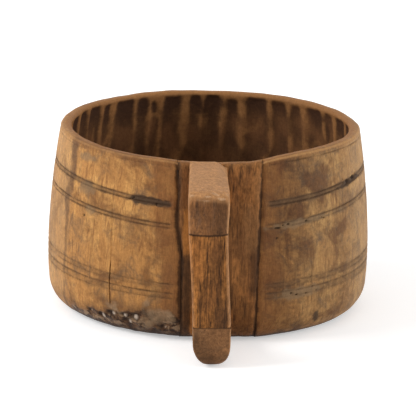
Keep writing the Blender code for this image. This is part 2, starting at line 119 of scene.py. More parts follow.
def mask_range(tree, value, low, high, start=0.0, end=1.0):
    sockets = {"Value": value, "From Min": low, "From Max": high, "To Min": start, "To Max": end}
    made = add_node(tree, "ShaderNodeMapRange", sockets, interpolation_type="SMOOTHSTEP")
    return made.outputs["Result"]


def calculate(tree, operation, first, second):
    return add_node(tree, "ShaderNodeMath", {0: first, 1: second}, operation=operation).outputs[0]


def stretched_noise(tree, vector, scale, detail=2.0, roughness=0.5, distortion=0.0):
    """Noise whose cells per metre are given along x, y and z."""
    turned = add_node(tree, "ShaderNodeMapping", {"Vector": vector, "Scale": scale})
    sockets = {"Vector": turned.outputs[0], "Scale": 1.0, "Detail": detail}
    sockets |= {"Roughness": roughness, "Distortion": distortion}
    return add_node(tree, "ShaderNodeTexNoise", sockets).outputs[0]


def linear(red, green, blue):
    """A colour as seen on a screen, 0 to 255, as the linear values that sockets take."""
    shares = [channel / 255 for channel in (red, green, blue)]
    return (*[share / 12.92 if share < 0.04 else ((share + 0.055) / 1.055) ** 2.4 for share in shares], 1.0)


# %% [markdown]
# ## Light and floor
# A white studio: soft light from all round, a large soft lamp at the upper left and a weak one on the
# right. The camera sees white where there is nothing. The floor is pale, glows a little for the camera
# only, and keeps the soft shadow under the bowl.

# %% Light and floor
SKY_LIGHT = 0.62
FLOOR_SIDE = 12.0
FLOOR_GREY = (0.86, 0.86, 0.86, 1.0)
FLOOR_GLOW = 0.40
LAMPS = {  # place, watts, size in metres
    "key": ((-2.3, -0.45, 1.6), 50.0, 1.4),
    "fill": ((2.2, -0.5, 0.7), 25.0, 1.2),
}


def seen_ray(tree):
    """1 for what the camera, a reflection or a glass sees, 0 for light that falls on things."""
    ray = add_node(tree, "ShaderNodeLightPath")
    mirrored = calculate(tree, "MAXIMUM", ray.outputs["Is Glossy Ray"], ray.outputs["Is Transmission Ray"])
    return calculate(tree, "MAXIMUM", ray.outputs["Is Camera Ray"], mirrored)


world = bpy.data.worlds.new("studio")
bpy.context.scene.world = world
world.use_nodes = True
sky = world.node_tree
brightness = mask_range(sky, seen_ray(sky), 0.0, 1.0, SKY_LIGHT, 1.0)
fill_sockets(sky, sky.nodes["Background"], {"Color": WHITE, "Strength": brightness})

for name, (place, watts, size) in LAMPS.items():
    lamp = bpy.data.lights.new(name, "AREA")
    lamp.energy = watts
    lamp.size = size
    lamp_object = bpy.data.objects.new(name, lamp)
    lamp_object.location = place
    lamp_object.rotation_euler = (BOWL_MIDDLE - Vector(place)).to_track_quat("-Z", "Y").to_euler()
    bpy.context.scene.collection.objects.link(lamp_object)

bpy.ops.mesh.primitive_plane_add(size=FLOOR_SIDE)
floor = bpy.context.object
floor.name = "floor"
floor_finish = bpy.data.materials.new("floor")
floor_finish.use_nodes = True
tree = floor_finish.node_tree
floor_paint = {
    "Base Color": FLOOR_GREY,
    "Roughness": 0.9,
    "Specular IOR Level": 0.1,
    "Emission Color": WHITE,
    "Emission Strength": mask_range(tree, seen_ray(tree), 0.0, 1.0, 0.0, FLOOR_GLOW),
}
fill_sockets(tree, tree.nodes["Principled BSDF"], floor_paint)
floor.data.materials.append(floor_finish)
print("lamps:", list(LAMPS))

# %% [markdown]
# ## Wood figure
# All the wood shares the same build: paler and darker streaks along the grain, blotches from age, a film
# of grey soil from handling, and fine fibres. That is one node group with named sockets, and each wood
# gives it its own colours and amounts. The vector has its Z axis along the grain, so a Mapping node in the
# material turns it for blocks that lie down. The output Grain is a brightness for the last step, so that
# painted dirt gets the same fine texture as the wood.

# %% Wood figure


def new_group(name, inputs, outputs):
    """A shader node group with named sockets, the sockets that bring in what it is given, and its output."""
    group = bpy.data.node_groups.new(name, "ShaderNodeTree")
    for way, sockets in (("INPUT", inputs), ("OUTPUT", outputs)):
        for socket, kind in sockets.items():
            group.interface.new_socket(socket, in_out=way, socket_type=kind)
    return group, add_node(group, "NodeGroupInput").outputs, add_node(group, "NodeGroupOutput")


NUMBER, COLOUR, VECTOR = "NodeSocketFloat", "NodeSocketColor", "NodeSocketVector"
COLOUR_NAMES = ("Pale", "Middle", "Dark", "Soil")
AMOUNT_NAMES = ("Streaks", "Blotches", "Soiling", "Fibres", "Contrast")
aged_wood, given, result = new_group(
    "aged_wood",
    {"Vector": VECTOR} | dict.fromkeys(COLOUR_NAMES, COLOUR) | dict.fromkeys(AMOUNT_NAMES, NUMBER),
    {"Colour": COLOUR, "Grain": NUMBER, "Height": NUMBER, "Age": NUMBER},
)


def figure_noise(scale, detail, roughness, distortion=0.0):
    return stretched_noise(aged_wood, given["Vector"], scale, detail, roughness, distortion)


def figure_share(value, low, high, amount):
    """A mask from a range of a noise, times one of the group's amounts."""
    return calculate(aged_wood, "MULTIPLY", mask_range(aged_wood, value, low, high), given[amount])


clouds = figure_noise((30, 30, 22), 3.0, 0.55, 0.8)
streaks = figure_noise((120, 120, 8), 4.0, 0.60, 0.5)
fine_streaks = figure_noise((420, 420, 24), 4.0, 0.62, 0.7)
blotches = figure_noise((42, 42, 22), 9.0, 0.69, 0.7)
soil = figure_noise((74, 74, 34), 9.0, 0.71, 0.7)
mottle = figure_noise((430, 430, 260), 5.0, 0.72, 0.5)
fibres = figure_noise((1200, 1200, 120), 3.0, 0.62, 0.3)

tone = calculate(aged_wood, "ADD", clouds, streaks)
age = mask_range(aged_wood, calculate(aged_wood, "ADD", blotches, clouds), 0.90, 1.22)
colour = given["Middle"]
for share, over in (
    (figure_share(tone, 0.86, 1.16, "Streaks"), "Pale"),
    (figure_share(fine_streaks, 0.50, 0.72, "Streaks"), "Dark"),
    (calculate(aged_wood, "MULTIPLY", age, given["Blotches"]), "Dark"),
    (figure_share(soil, 0.46, 0.70, "Soiling"), "Soil"),
    (figure_share(fibres, 0.50, 0.72, "Fibres"), "Dark"),
):
    colour = mix_colour(aged_wood, share, colour, given[over])
speckled = mask_range(aged_wood, mottle, 0.28, 0.72, 0.84, 1.13)
grain = calculate(aged_wood, "MULTIPLY", speckled, mask_range(aged_wood, fibres, 0.3, 0.7, 1.06, 0.92))
grain = calculate(aged_wood, "POWER", grain, given["Contrast"])
height = calculate(aged_wood, "ADD", calculate(aged_wood, "ADD", fibres, mottle), fine_streaks)
fill_sockets(aged_wood, result, {"Colour": colour, "Grain": grain, "Height": height, "Age": age})
print("wood figure:", len(aged_wood.nodes), "nodes")

# %% [markdown]
# ## Ragged masks
# Dirt, wear and stains are painted on the meshes as a number for each vertex, and so are painted light and
# shade. Their edges would look airbrushed, so a second group breaks them up with noise before they mix one
# colour into another.

# %% Ragged masks
ragged_inputs = {"Vector": VECTOR} | dict.fromkeys(("Mask", "Raggedness", "Low", "High"), NUMBER)
ragged, given, result = new_group("ragged_mask", ragged_inputs, {"Mask": NUMBER})
coarse = stretched_noise(ragged, given["Vector"], (240, 240, 200), 5.0, 0.7)
shift = calculate(ragged, "MULTIPLY", calculate(ragged, "SUBTRACT", coarse, 0.5), given["Raggedness"])
edge = mask_range(ragged, calculate(ragged, "ADD", given["Mask"], shift), given["Low"], given["High"])
present = mask_range(ragged, given["Mask"], 0.0, 0.12)
fill_sockets(ragged, result, {"Mask": calculate(ragged, "MULTIPLY", edge, present)})
print("node groups:", [group.name for group in bpy.data.node_groups])

# %% [markdown]
# ## A finish in layers
# Old wood is a plain figure with many thin layers of dirt and wear on it, and here also layers of painted
# light and shade. A class keeps what has been mixed so far, so a finish can be written as a list of layers.
# The
# broken edge has a layer of its own: two noises make its pale lumps and the dark gaps between them.

# %% A finish in layers
WOOD_GLOSS = 0.10
AGED_ROUGHER = 0.12  # how much rougher the old blotches are
FINE_RELIEF = 0.0006
BREAK_ROUGHNESS, BREAK_RELIEF = 0.45, 2.0


class WoodFinish:
    """A wood material under construction: base figure first, painted layers on top, then the shader."""

    def __init__(self, name, colours, amounts, roughness, turn=(0.0, 0.0, 0.0), squash=1.0):
        """Colours and amounts come in the order of COLOUR_NAMES and AMOUNT_NAMES.

        Turn lays the grain down, and squash makes everything shorter along it.
        """
        self.material = bpy.data.materials.new(name)
        self.material.use_nodes = True
        self.tree = self.material.node_tree
        place = add_node(self.tree, "ShaderNodeTexCoord").outputs["Object"]
        turned = {"Vector": place, "Rotation": turn, "Scale": (1.0, 1.0, squash)}
        self.vector = add_node(self.tree, "ShaderNodeMapping", turned).outputs[0]
        sockets = {"Vector": self.vector} | dict(zip(AMOUNT_NAMES, amounts))
        sockets |= {socket: linear(*rgb) for socket, rgb in zip(COLOUR_NAMES, colours)}
        figure = add_node(self.tree, "ShaderNodeGroup", sockets, node_tree=aged_wood).outputs
        self.colour, self.grain, self.height = figure["Colour"], figure["Grain"], figure["Height"]
        self.roughness = mask_range(self.tree, figure["Age"], 0.0, 1.0, roughness, roughness + AGED_ROUGHER)

    def painted(self, attribute, raggedness, softness):
        """The mask painted under this name, with a ragged edge."""
        sockets = {
            "Vector": self.vector,
            "Mask": add_node(self.tree, "ShaderNodeAttribute", attribute_name=attribute).outputs["Fac"],
            "Raggedness": raggedness,
            "Low": 0.5 - softness,
            "High": 0.5 + softness,
        }
        return add_node(self.tree, "ShaderNodeGroup", sockets, node_tree=ragged).outputs["Mask"]

    def cover(self, mask, colour, roughness, blend="MIX"):
        """Mixes a colour and a roughness in where a mask is set."""
        self.colour = mix_colour(self.tree, mask, self.colour, colour, blend)
        sockets = {0: mask, 2: self.roughness, 3: roughness}
        self.roughness = add_node(self.tree, "ShaderNodeMix", sockets, data_type="FLOAT").outputs[0]

    def layer(self, attribute, colour, strength, roughness, raggedness=0.6, softness=0.3, blend="MIX"):
        """One colour over what is painted under this name."""
        mask = calculate(self.tree, "MULTIPLY", self.painted(attribute, raggedness, softness), strength)
        self.cover(mask, linear(*colour), roughness, blend)

    def layers(self, *rows):
        """Layers from the lowest to the highest. A row holds what layer() takes, in the same order."""
        for row in rows:
            self.layer(*row)

    def broken(self, attribute, dark, ground, pale, size):
        """Broken wood with its relief: dark gaps, a brown ground and pale lumps of this size."""
        mask = self.painted(attribute, 1.0, 0.4)
        cells = 1 / size
        closer = 1.5 * cells
        lumps = stretched_noise(self.tree, self.vector, (cells, cells, 0.6 * cells), 4.0, 0.55, 0.5)
        gaps = stretched_noise(self.tree, self.vector, (closer, closer, 0.6 * closer), 4.0, 0.60, 0.4)
        between = mask_range(self.tree, gaps, 0.42, 0.58)
        colour = mix_colour(self.tree, between, linear(*dark), linear(*ground))
        top = mask_range(self.tree, lumps, 0.50, 0.60)
        self.cover(mask, mix_colour(self.tree, top, colour, linear(*pale)), BREAK_ROUGHNESS)
        raised = calculate(self.tree, "MULTIPLY", calculate(self.tree, "ADD", lumps, gaps), mask)
        raised = calculate(self.tree, "MULTIPLY", raised, BREAK_RELIEF)
        self.height = calculate(self.tree, "ADD", self.height, raised)

    def finish(self, bump):
        """Joins the layers to the shader, with a fine relief of this strength."""
        relief = {"Height": self.height, "Strength": bump, "Distance": FINE_RELIEF}
        sockets = {
            "Base Color": mix_colour(self.tree, 1.0, self.colour, self.grain, "MULTIPLY"),
            "Roughness": self.roughness,
            "Specular IOR Level": WOOD_GLOSS,
            "Normal": add_node(self.tree, "ShaderNodeBump", relief).outputs[0],
        }
        fill_sockets(self.tree, self.tree.nodes["Principled BSDF"], sockets)
        return self.material


print("steps of a finish:", [name for name in vars(WoodFinish) if not name.startswith("_")])

# %% [markdown]
# ## Mesh helpers
# A mesh is a list of places, so its vertices can be read as one array, moved all together and written
# back, the way a sculpting brush moves many points at once. A painted mask is one more number for each.

# %% Mesh helpers


def only(thing):
    """Select one object and make it active, so that the next operator works on nothing else."""
    bpy.ops.object.select_all(action="DESELECT")
    thing.select_set(True)
    bpy.context.view_layer.objects.active = thing


def new_shape(name, add, **settings):
    """Add a simple shape while nothing is selected, and name it."""
    bpy.ops.object.select_all(action="DESELECT")
    add(**settings)
    made = bpy.context.object
    made.name = name
    return made


def vectors_of(items, name):
    """Three numbers for each item, as the rows of an array."""
    numbers = np.empty(len(items) * 3)
    items.foreach_get(name, numbers)
    return numbers.reshape(-1, 3)


def points_of(thing):
    return vectors_of(thing.data.vertices, "co")


def normals_of(thing):
    return vectors_of(thing.data.vertex_normals, "vector")


def move_points(thing, places):
    thing.data.vertices.foreach_set("co", np.asarray(places, float).ravel())
    thing.data.update()


def paint(thing, **masks):
    """Paint masks on a mesh, each under its own name."""
    for name, values in masks.items():
        layer = thing.data.attributes.get(name) or thing.data.attributes.new(name, "FLOAT", "POINT")
        layer.data.foreach_set("value", np.asarray(values, np.float32).ravel())


def rows_of(thing):
    """The row of the section that each vertex of a spun or stretched loop comes from."""
    values = np.empty(len(thing.data.vertices), np.float32)
    thing.data.attributes["row"].data.foreach_get("value", values)
    return np.rint(values).astype(int)


def ease(low, high, value):
    """0 up to low, 1 from high on, and a smooth rise between them."""
    share = np.clip((value - low) / (high - low), 0.0, 1.0)
    return share * share * (3.0 - 2.0 * share)


def fade(low, high, value):
    """1 up to low, 0 from high on, and a smooth fall between them."""
    return 1 - ease(low, high, value)


def follow(path, at):
    """What a path of (place, value) pairs gives at these places, straight from one pair to the next."""
    return np.interp(at, *zip(*path))


def waves(places, size):
    """Smooth unevenness from about -1 to 1. Size is that of its waves along x, y and z."""
    return np.array([noise.noise(Vector(place)) for place in places / np.asarray(size)])


def in_edit_mode(thing, steps):
    """Run mesh operators on one object with everything in it selected."""
    only(thing)
    bpy.ops.object.mode_set(mode="EDIT")
    bpy.ops.mesh.select_all(action="SELECT")
    steps()
    bpy.ops.object.mode_set(mode="OBJECT")


def apply_modifier(thing, kind, **settings):
    only(thing)
    step = thing.modifiers.new(kind.lower(), kind)
    for name, value in settings.items():
        setattr(step, name, value)
    bpy.ops.object.modifier_apply(modifier=step.name)


def close_up():
    """Fill the open ends of a spun or stretched loop, and turn all faces outwards."""
    bpy.ops.mesh.select_all(action="SELECT")
    bpy.ops.mesh.fill_holes(sides=0)
    bpy.ops.mesh.select_all(action="SELECT")
    bpy.ops.mesh.normals_make_consistent(inside=False)


def shade_smooth(thing, sharpest):
    """Smooth shading, apart from edges where two faces meet at more than this angle."""
    only(thing)
    bpy.ops.object.shade_smooth_by_angle(angle=math.radians(sharpest))


def give_material(piece, material):
    piece.data.materials.clear()
    piece.data.materials.append(material)


def stands_for(piece, material, node):
    """Give a finished piece its material, hang it under the root body and hide the solid that it stands for.
    """
    give_material(piece, material)
    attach(piece, "root")
    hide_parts(node)
    print(piece.name, len(piece.data.polygons), "faces")


# %% [markdown]
# ## Section of the wall
# The bowl was turned outside and hollowed by hand. Its wall is thickest near the floor, swells to a belly
# low down and leans in towards the rim. The lower edge is a large round, the lip a small one, and a ledge
# inside carries the bottom board. All of that is one closed loop of radius and height, walked down the
# outside and up the inside. Rows lie closer together where a line will be cut.

# %% Section of the wall
_, wall_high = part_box("bowl_wall")
BOWL_HEIGHT = wall_high.z
BELLY_RADIUS = wall_high.x
RIM_RADIUS = 0.0973
BELLY_HEIGHT = 0.038
SHOULDER_POWER = 1.7
FOOT_TUCK = 0.0036
FOOT_ROUND = 0.019
LIP_ROUND = 0.0024
RIM_WALL, LOW_WALL = 0.0072, 0.010
COVE_RADIUS, FLOOR_HEIGHT = 0.014, 0.017
LEDGE_HEIGHT, LEDGE_STEP, LEDGE_WIDTH = 0.0075, 0.0065, 0.0103
LINE_STRENGTHS = {  # height of each line, strength left and right of the stave
    0.1162: (0.35, 0.60),
    0.0918: (0.75, 0.80),
    0.0893: (0.85, 1.0),
    0.0773: (0.9, 0.75),
    0.0749: (0.7, 0.5),
    0.0387: (0.45, 0.5),
    0.0361: (0.4, 0.45),
    0.0328: (0.65, 0.6),
    0.0295: (0.5, 0.45),
}
LINE_ROW = 0.0004  # between rows beside a line
PLAIN_ROW = 0.0016
FOOT_STEPS, COVE_STEPS, LIP_STEPS = 28, 8, 5
WALL_INSIDE_ROWS = 56
OUTSIDE, INSIDE, HIDDEN = 1, -1, 0


def outer_radius(height):
    rise = np.clip((height - BELLY_HEIGHT) / (BOWL_HEIGHT - BELLY_HEIGHT), 0.0, None)
    fall = np.clip((BELLY_HEIGHT - height) / BELLY_HEIGHT, 0.0, None)
    return BELLY_RADIUS - (BELLY_RADIUS - RIM_RADIUS) * rise**SHOULDER_POWER - FOOT_TUCK * fall**2


def inner_radius(height):
    rise = (height - FLOOR_HEIGHT) / (BOWL_HEIGHT - FLOOR_HEIGHT)
    return outer_radius(height) - LOW_WALL - (RIM_WALL - LOW_WALL) * rise


def arc(centre, radius, start, end, steps):
    angles = np.radians(np.linspace(start, end, steps + 1))
    return [(centre[0] + radius * math.cos(angle), centre[1] + radius * math.sin(angle)) for angle in angles]


def outside_heights(lines):
    """Heights from the lip down to the rounded foot, bunched round each line."""
    plain = np.arange(BOWL_HEIGHT - LIP_ROUND, FOOT_ROUND, -PLAIN_ROW)
    near = 3.6 * LINE_ROW
    heights = [height for height in plain if all(abs(height - line) > near for line in lines)]
    for line in lines:
        heights += [line + step * LINE_ROW for step in range(-3, 4)]
    return sorted(heights, reverse=True)


def rows_at(radius_at, heights):
    return [(float(radius_at(height)), height) for height in heights]


COVE_TOP = FLOOR_HEIGHT + COVE_RADIUS
LEDGE_RADIUS = float(inner_radius(COVE_TOP)) - LEDGE_STEP


def wall_section(lines, inside_rows):
    """Radius, height and side of each row of the wall's section."""
    lip = BOWL_HEIGHT - LIP_ROUND
    foot = (float(outer_radius(FOOT_ROUND)) - FOOT_ROUND, FOOT_ROUND)
    cove = (float(inner_radius(COVE_TOP)) - COVE_RADIUS, COVE_TOP)
    cove_start = -math.degrees(math.acos((LEDGE_RADIUS - cove[0]) / COVE_RADIUS))
    hole = LEDGE_RADIUS - LEDGE_WIDTH
    parts = [
        (rows_at(outer_radius, outside_heights(lines)), OUTSIDE),
        (arc(foot, FOOT_ROUND, 0, -90, FOOT_STEPS)[1:], OUTSIDE),
        ([(hole, 0.0), (hole, LEDGE_HEIGHT), (LEDGE_RADIUS, LEDGE_HEIGHT)], HIDDEN),
        (arc(cove, COVE_RADIUS, cove_start, 0, COVE_STEPS), INSIDE),
        (rows_at(inner_radius, np.linspace(COVE_TOP, lip, inside_rows)[1:-1]), INSIDE),
        (arc((float(inner_radius(lip)) + LIP_ROUND, lip), LIP_ROUND, 180, 90, LIP_STEPS), INSIDE),
        (arc((float(outer_radius(lip)) - LIP_ROUND, lip), LIP_ROUND, 90, 0, LIP_STEPS)[:-1], OUTSIDE),
    ]
    rows = [(radius, height, side) for points, side in parts for radius, height in points]
    return np.array(rows)


def section_normals(section):
    """Outward direction of each row, as radius and height, from the rows before and after it."""
    along = np.roll(section[:, :2], -1, axis=0) - np.roll(section[:, :2], 1, axis=0)
    outward = np.column_stack([-along[:, 1], along[:, 0]])
    return outward / np.linalg.norm(outward, axis=1)[:, None]


section = wall_section(LINE_STRENGTHS, WALL_INSIDE_ROWS)
print("section:", len(section), "rows")

# %% [markdown]
# ## Turned wall: the plain shape
# A circle gives the right number of vertices, which are laid along the section. Spin then sweeps it round
# the bowl's axis, as a lathe would. It stops short of a full turn, because the front has a slot for the
# stave. Afterwards the columns are slid: closer together at the front, where the marks are, and with the
# two ends exactly on the slanting edges of the slot. A number painted on each row survives the spin.

# %% Turned wall: the plain shape
SPIN_ANGLE = math.radians(300)
COLUMNS = 480
FRONT_COLUMNS = 150  # on each side of the stave
FRONT_ANGLE = math.radians(100)
SEAM_ANGLE = math.radians(15)
STAVE_MIDDLE_X = 0.0004
STAVE_RIM_WIDTH, STAVE_FOOT_WIDTH = 0.0538, 0.0484
SEAM_GAP = 0.0003
LEFT_SEAM_WANDER = (  # height, how far to the right of a straight line
    (0.0, 0.0003),
    (0.046, 0.0006),
    (0.060, 0.0009),
    (0.077, -0.0011),
    (0.1, -0.0004),
    (0.12, -0.0002),
)


def seam_x(side, height):
    """Place of the seam on the left (-1) or right (1) edge of the stave. The left one wanders a little."""
    width = STAVE_FOOT_WIDTH + (STAVE_RIM_WIDTH - STAVE_FOOT_WIDTH) * height / BOWL_HEIGHT
    wander = follow(LEFT_SEAM_WANDER, height) if side < 0 else 0.0
    return STAVE_MIDDLE_X + side * width / 2 + wander


def new_loop(name, section):
    """A closed loop of vertices laid along a section, with each row's number painted on it."""
    made = new_shape(name, bpy.ops.mesh.primitive_circle_add, vertices=len(section), radius=RIM_RADIUS)
    move_points(made, np.column_stack([section[:, 0], np.zeros(len(section)), section[:, 1]]))
    paint(made, row=np.arange(len(section)))
    return made


def spin_wall():
    bpy.ops.mesh.spin(steps=COLUMNS, angle=-SPIN_ANGLE, center=(0.0, 0.0, 0.0), axis=(0.0, 0.0, 1.0))
    close_up()


wall = new_loop("turned_wall", section)
in_edit_mode(wall, spin_wall)

wall_row = rows_of(wall)
plain = points_of(wall)
slack = 0.001  # keeps the first column from being read as a full turn
swept = (np.arctan2(plain[:, 1], plain[:, 0]) + slack) % math.tau - slack
column = np.rint(swept / SPIN_ANGLE * COLUMNS).astype(int)

radius, height, side = section[wall_row].T
turn = np.interp(
    column,
    [0, FRONT_COLUMNS, COLUMNS - FRONT_COLUMNS, COLUMNS],
    [SEAM_ANGLE, FRONT_ANGLE, math.tau - FRONT_ANGLE, math.tau - SEAM_ANGLE],
)
blend_angle = math.radians(30)
for edge_side, end in ((1, SEAM_ANGLE), (-1, math.tau - SEAM_ANGLE)):
    true_end = np.arcsin((seam_x(edge_side, height) + edge_side * SEAM_GAP / 2) / radius) % math.tau
    turn += (true_end - end) * np.clip(1 - np.abs(turn - end) / blend_angle, 0, 1)
degrees = np.degrees(np.where(turn > math.pi, turn - math.tau, turn))
print("wall:", len(plain), "points, columns", column.min(), "to", column.max())

# %% [markdown]
# ## Turned wall: lines and wear outside
# Depths are counted into the wood, along each row's own outward direction. The lines are V cuts that stop
# before the stave. They were drawn by hand, so they rise a little towards the sides, and their depth varies.
# One column of vertices is slid onto the crack, so that the crack can be a sharp V.

# %% Turned wall: lines and wear outside
LINE_RISE = 0.006
LINE_DEPTH = 0.0008
LINE_HALF_WIDTH = 0.0010
CRACK_PATH = (  # height, angle
    (0.0, -40.6),
    (0.022, -40.4),
    (0.033, -40.7),
    (0.043, -40.4),
    (0.056, -39.9),
    (0.092, -41.4),
    (0.12, -41.4),
)
CRACK_ANGLE = -40.7  # at its widest place
CRACK_STEP = 0.28  # degrees from the crack to the columns beside it
CRACK_DEPTH = 0.0025

outside = side == OUTSIDE
inside = side == INSIDE
crack_angle = follow(CRACK_PATH, height)
crack_column = column[np.argmin(np.abs(degrees - CRACK_ANGLE) + 9 * ~outside)]
for step in (-1, 0, 1):
    here = outside & (column == crack_column + step)
    degrees[here] = crack_angle[here] + step * CRACK_STEP
turn = np.radians(degrees)


def by_side(left, right):
    """One value for the left half of the wall and one for the right half."""
    return np.where(degrees < 0, left, right)


def round_axis(reach, level):
    """Places at this distance from the bowl's axis and this height, in each vertex's own direction."""
    return np.column_stack([reach * np.sin(turn), -reach * np.cos(turn), level])


lifted = outside & (height > FOOT_ROUND)
rise_share = ease(0.0, 0.03, height - FOOT_ROUND) * ease(0.0, 0.024, BOWL_HEIGHT - LIP_ROUND - height)
drawn_height = height + np.where(lifted, LINE_RISE * np.sin(turn) ** 2 * rise_share, 0)
flat = round_axis(radius, drawn_height)
to_left, to_right = seam_x(-1, height) - flat[:, 0], flat[:, 0] - seam_x(1, height)
seam_distance = np.where(np.abs(degrees) < 90, by_side(to_left, to_right), 1.0)
slow = waves(flat, (0.045, 0.045, 0.06))
small = waves(flat, (0.011, 0.011, 0.016))
rough = waves(flat, 0.0045)

line_depth = np.zeros(len(flat))
around = round_axis(1.0, np.zeros(len(turn)))
for line, (left, right) in LINE_STRENGTHS.items():
    unsteady = 0.8 + 0.6 * waves(around + (0, 0, 70 * line), 0.10)
    strength = by_side(left, right) * unsteady * ease(0.0025, 0.006, seam_distance)
    cut = np.clip(1 - np.abs(height - line) / LINE_HALF_WIDTH, 0, 1)
    line_depth += np.clip(strength, 0, 1) * cut * outside
open_share = ease(0.019, 0.024, height) * fade(0.040, 0.047, height)
open_share += 0.12 * ease(0.040, 0.047, height) * fade(0.088, 0.100, height)
crack_mask = outside * (column == crack_column) * open_share
print("lines:", len(LINE_STRENGTHS), "crack in column", crack_column)

# %% [markdown]
# ## Turned wall: pits and the broken edge
# Small pits lie in the worn lines, and the lower left edge has broken away in flakes. A Voronoi pattern
# gives each flake its own depth, and noise makes the upper border ragged. Bright splinters lie on the broken
# edge, raised a little, and their pale colour also carries painted glints. Beside each is a painted shadow
# over a small dent. Lumps of grey crumbs lie on the edge too.

# %% Turned wall: pits and the broken edge
PITS = (  # angle, height, size
    (33.5, 0.0775, 0.0011),
    (21.0, 0.0690, 0.0007),
    (58.0, 0.0953, 0.0017),
    (62.5, 0.0961, 0.0018),
)
PITTED = (  # from angle to angle, from height to height, number of small pits
    (20, 47, 0.0745, 0.0790, 8),
    (20, 40, 0.0285, 0.0345, 7),
    (-35, -18, 0.0890, 0.0925, 10),
    (50, 69, 0.0930, 0.0985, 10),
    (-60, -46, 0.0720, 0.1080, 5),
)
# pale raised splinters whose colour also carries painted glints
CHIPS = (  # angle, height, size: bright splinters
    (-57.0, 0.0110, 0.0006),
    (-50.5, 0.0114, 0.0009),
    (-44.5, 0.0102, 0.0007),
    (-39.5, 0.0144, 0.0009),
    (-34.5, 0.0138, 0.0010),
    (-33.0, 0.0096, 0.0011),
    (-30.0, 0.0144, 0.0013),
    (-19.0, 0.0090, 0.0006),
)
LUMPS = (  # angle, height, size: grey crumbs that stick to the edge
    (-22.0, 0.0165, 0.0070),
    (-25.0, 0.0115, 0.0040),
    (-25.5, 0.0255, 0.0024),
    (-17.5, 0.0165, 0.0032),
    (-40.0, 0.0185, 0.0030),
)
BREAK_HEIGHTS = (  # angle, top of the broken edge
    (-70, 0.004),
    (-60, 0.011),
    (-46, 0.014),
    (-36, 0.017),
    (-24, 0.0195),
    (-13, 0.016),
    (-8, 0.004),
)
FLAKE_SIZE = 0.0075
PIT_SIZES = (0.0003, 0.0006)


def dabs(places, ragged=0.0006):
    """One mask for many small ragged spots."""
    mask = np.zeros(len(flat))
    for angle, level, size in places:
        away = np.hypot(0.75 * np.radians(degrees - angle) * radius, drawn_height - level) + ragged * rough
        mask = np.maximum(mask, np.clip(1.4 - away / size, 0, 1))
    return mask * outside


dice = np.random.default_rng(11)
small_pits = [
    (dice.uniform(left, right), dice.uniform(low, high), dice.uniform(*PIT_SIZES))
    for left, right, low, high, count in PITTED
    for _ in range(count)
]
pit_mask = dabs([*PITS, *small_pits])
# pale raised splinters whose colour also carries painted glints
chips = dabs(CHIPS, 0.0016)
chip_shade = dabs([(angle - 1.2, level + 0.0004, 2.3 * size) for angle, level, size in CHIPS], 0.0018)
lumps = dabs(LUMPS, 0.0040)
in_break = (degrees > BREAK_HEIGHTS[0][0]) & (degrees < BREAK_HEIGHTS[-1][0]) & outside
above_break = height - follow(BREAK_HEIGHTS, degrees)
broken = fade(-0.003, 0.003, above_break + 0.004 * small + 0.003 * rough) * in_break
flakes = np.array([noise.voronoi(Vector(place))[0][0] for place in flat / FLAKE_SIZE])
flake_depth = 0.0004 + 0.0010 * flakes + 0.0009 * rough
flake_depth += 0.0012 * chip_shade - 0.0008 * chips - 0.0006 * lumps
flake_depth = broken * np.clip(flake_depth, 0, None) * (0.3 + 0.7 * ease(0.003, 0.009, height))
print("small pits:", len(small_pits), "chips:", len(CHIPS), "lumps:", len(LUMPS))

# %% [markdown]
# ## Turned wall: gouge marks inside
# A gouge hollowed the inside in upright strokes, in two tiers, and left ridges between them. Old dirt lies
# in the hollows, which are round at the top. The ridges that show in the picture have their own angles.
# The others follow at distances from a fixed seed. Thin veins cross the hollows lower down, and one slip
# of the gouge has left a mark like a hook.

# %% Turned wall: gouge marks inside
GOUGE_DEPTH = 0.0011
HOLLOW_POWER = 2.6  # the higher, the flatter a hollow and the sharper its ridges
BACK_ANGLE = 176  # the middle of the back, as the camera sees it
GOUGE_STROKES = (  # ridge in degrees right of the middle of the back, top of the hollow on its left
    (76.0, 0.1168),
    (63.5, 0.1165),
    (55.0, 0.1168),
    (42.7, 0.1160),
    (35.0, 0.1172),
    (25.4, 0.1175),
    (12.9, 0.1152),
    (4.9, 0.1178),
    (-3.7, 0.1176),
    (-10.9, 0.1175),
    (-21.5, 0.1142),
    (-26.8, 0.1180),
    (-33.4, 0.1178),
    (-44.9, 0.1168),
    (-52.0, 0.1180),
    (-62.0, 0.1180),
)
FAINT_RIDGES = [8, 11, 12]
HOOK_MARK = (  # degrees right of the middle of the back, height
    (-27.6, 0.1000),
    (-27.2, 0.1040),
    (-22.6, 0.1046),
    (-21.6, 0.1015),
    (-21.5, 0.0880),
)
FLARE = 0.0007  # how much wider a ridge gets towards its top
TOP_ROUND = 0.0030
TOP_LIFT = 0.0008
LOWER_SHIFT = 3.0  # degrees between the ridges of the two tiers
ridge_angles = [BACK_ANGLE - ridge for ridge, _ in GOUGE_STROKES]
gouge_tops = [top for _, top in GOUGE_STROKES]
while ridge_angles[-1] < ridge_angles[0] + 352:
    ridge_angles.append(ridge_angles[-1] + dice.uniform(8, 14))
    gouge_tops.append(dice.uniform(0.1165, 0.1182))
ridge_angles[-1] = ridge_angles[0] + 360
gouge_depths = dice.uniform(0.6, 1.0, len(ridge_angles))
ridge_halves = dice.uniform(0.0008, 0.0018, len(ridge_angles))
ridge_halves[FAINT_RIDGES] = 0.0002


def gouged(ridges, wander):
    """How deep a place lies in its hollow, 0 to 1, how far from the ridge, and which hollow it is."""
    angle = (degrees + wander - ridges[0]) % 360 + ridges[0]
    number = np.clip(np.searchsorted(ridges, angle, side="right") - 1, 0, len(ridges) - 2)
    first, second = np.asarray(ridges)[number], np.asarray(ridges)[number + 1]
    across = 2 * (angle - first) / (second - first) - 1
    from_ridge = (1 - np.abs(across)) * np.radians(second - first) / 2 * radius
    return 1 - np.abs(across) ** HOLLOW_POWER, from_ridge - ridge_halves[number + (across > 0)], number


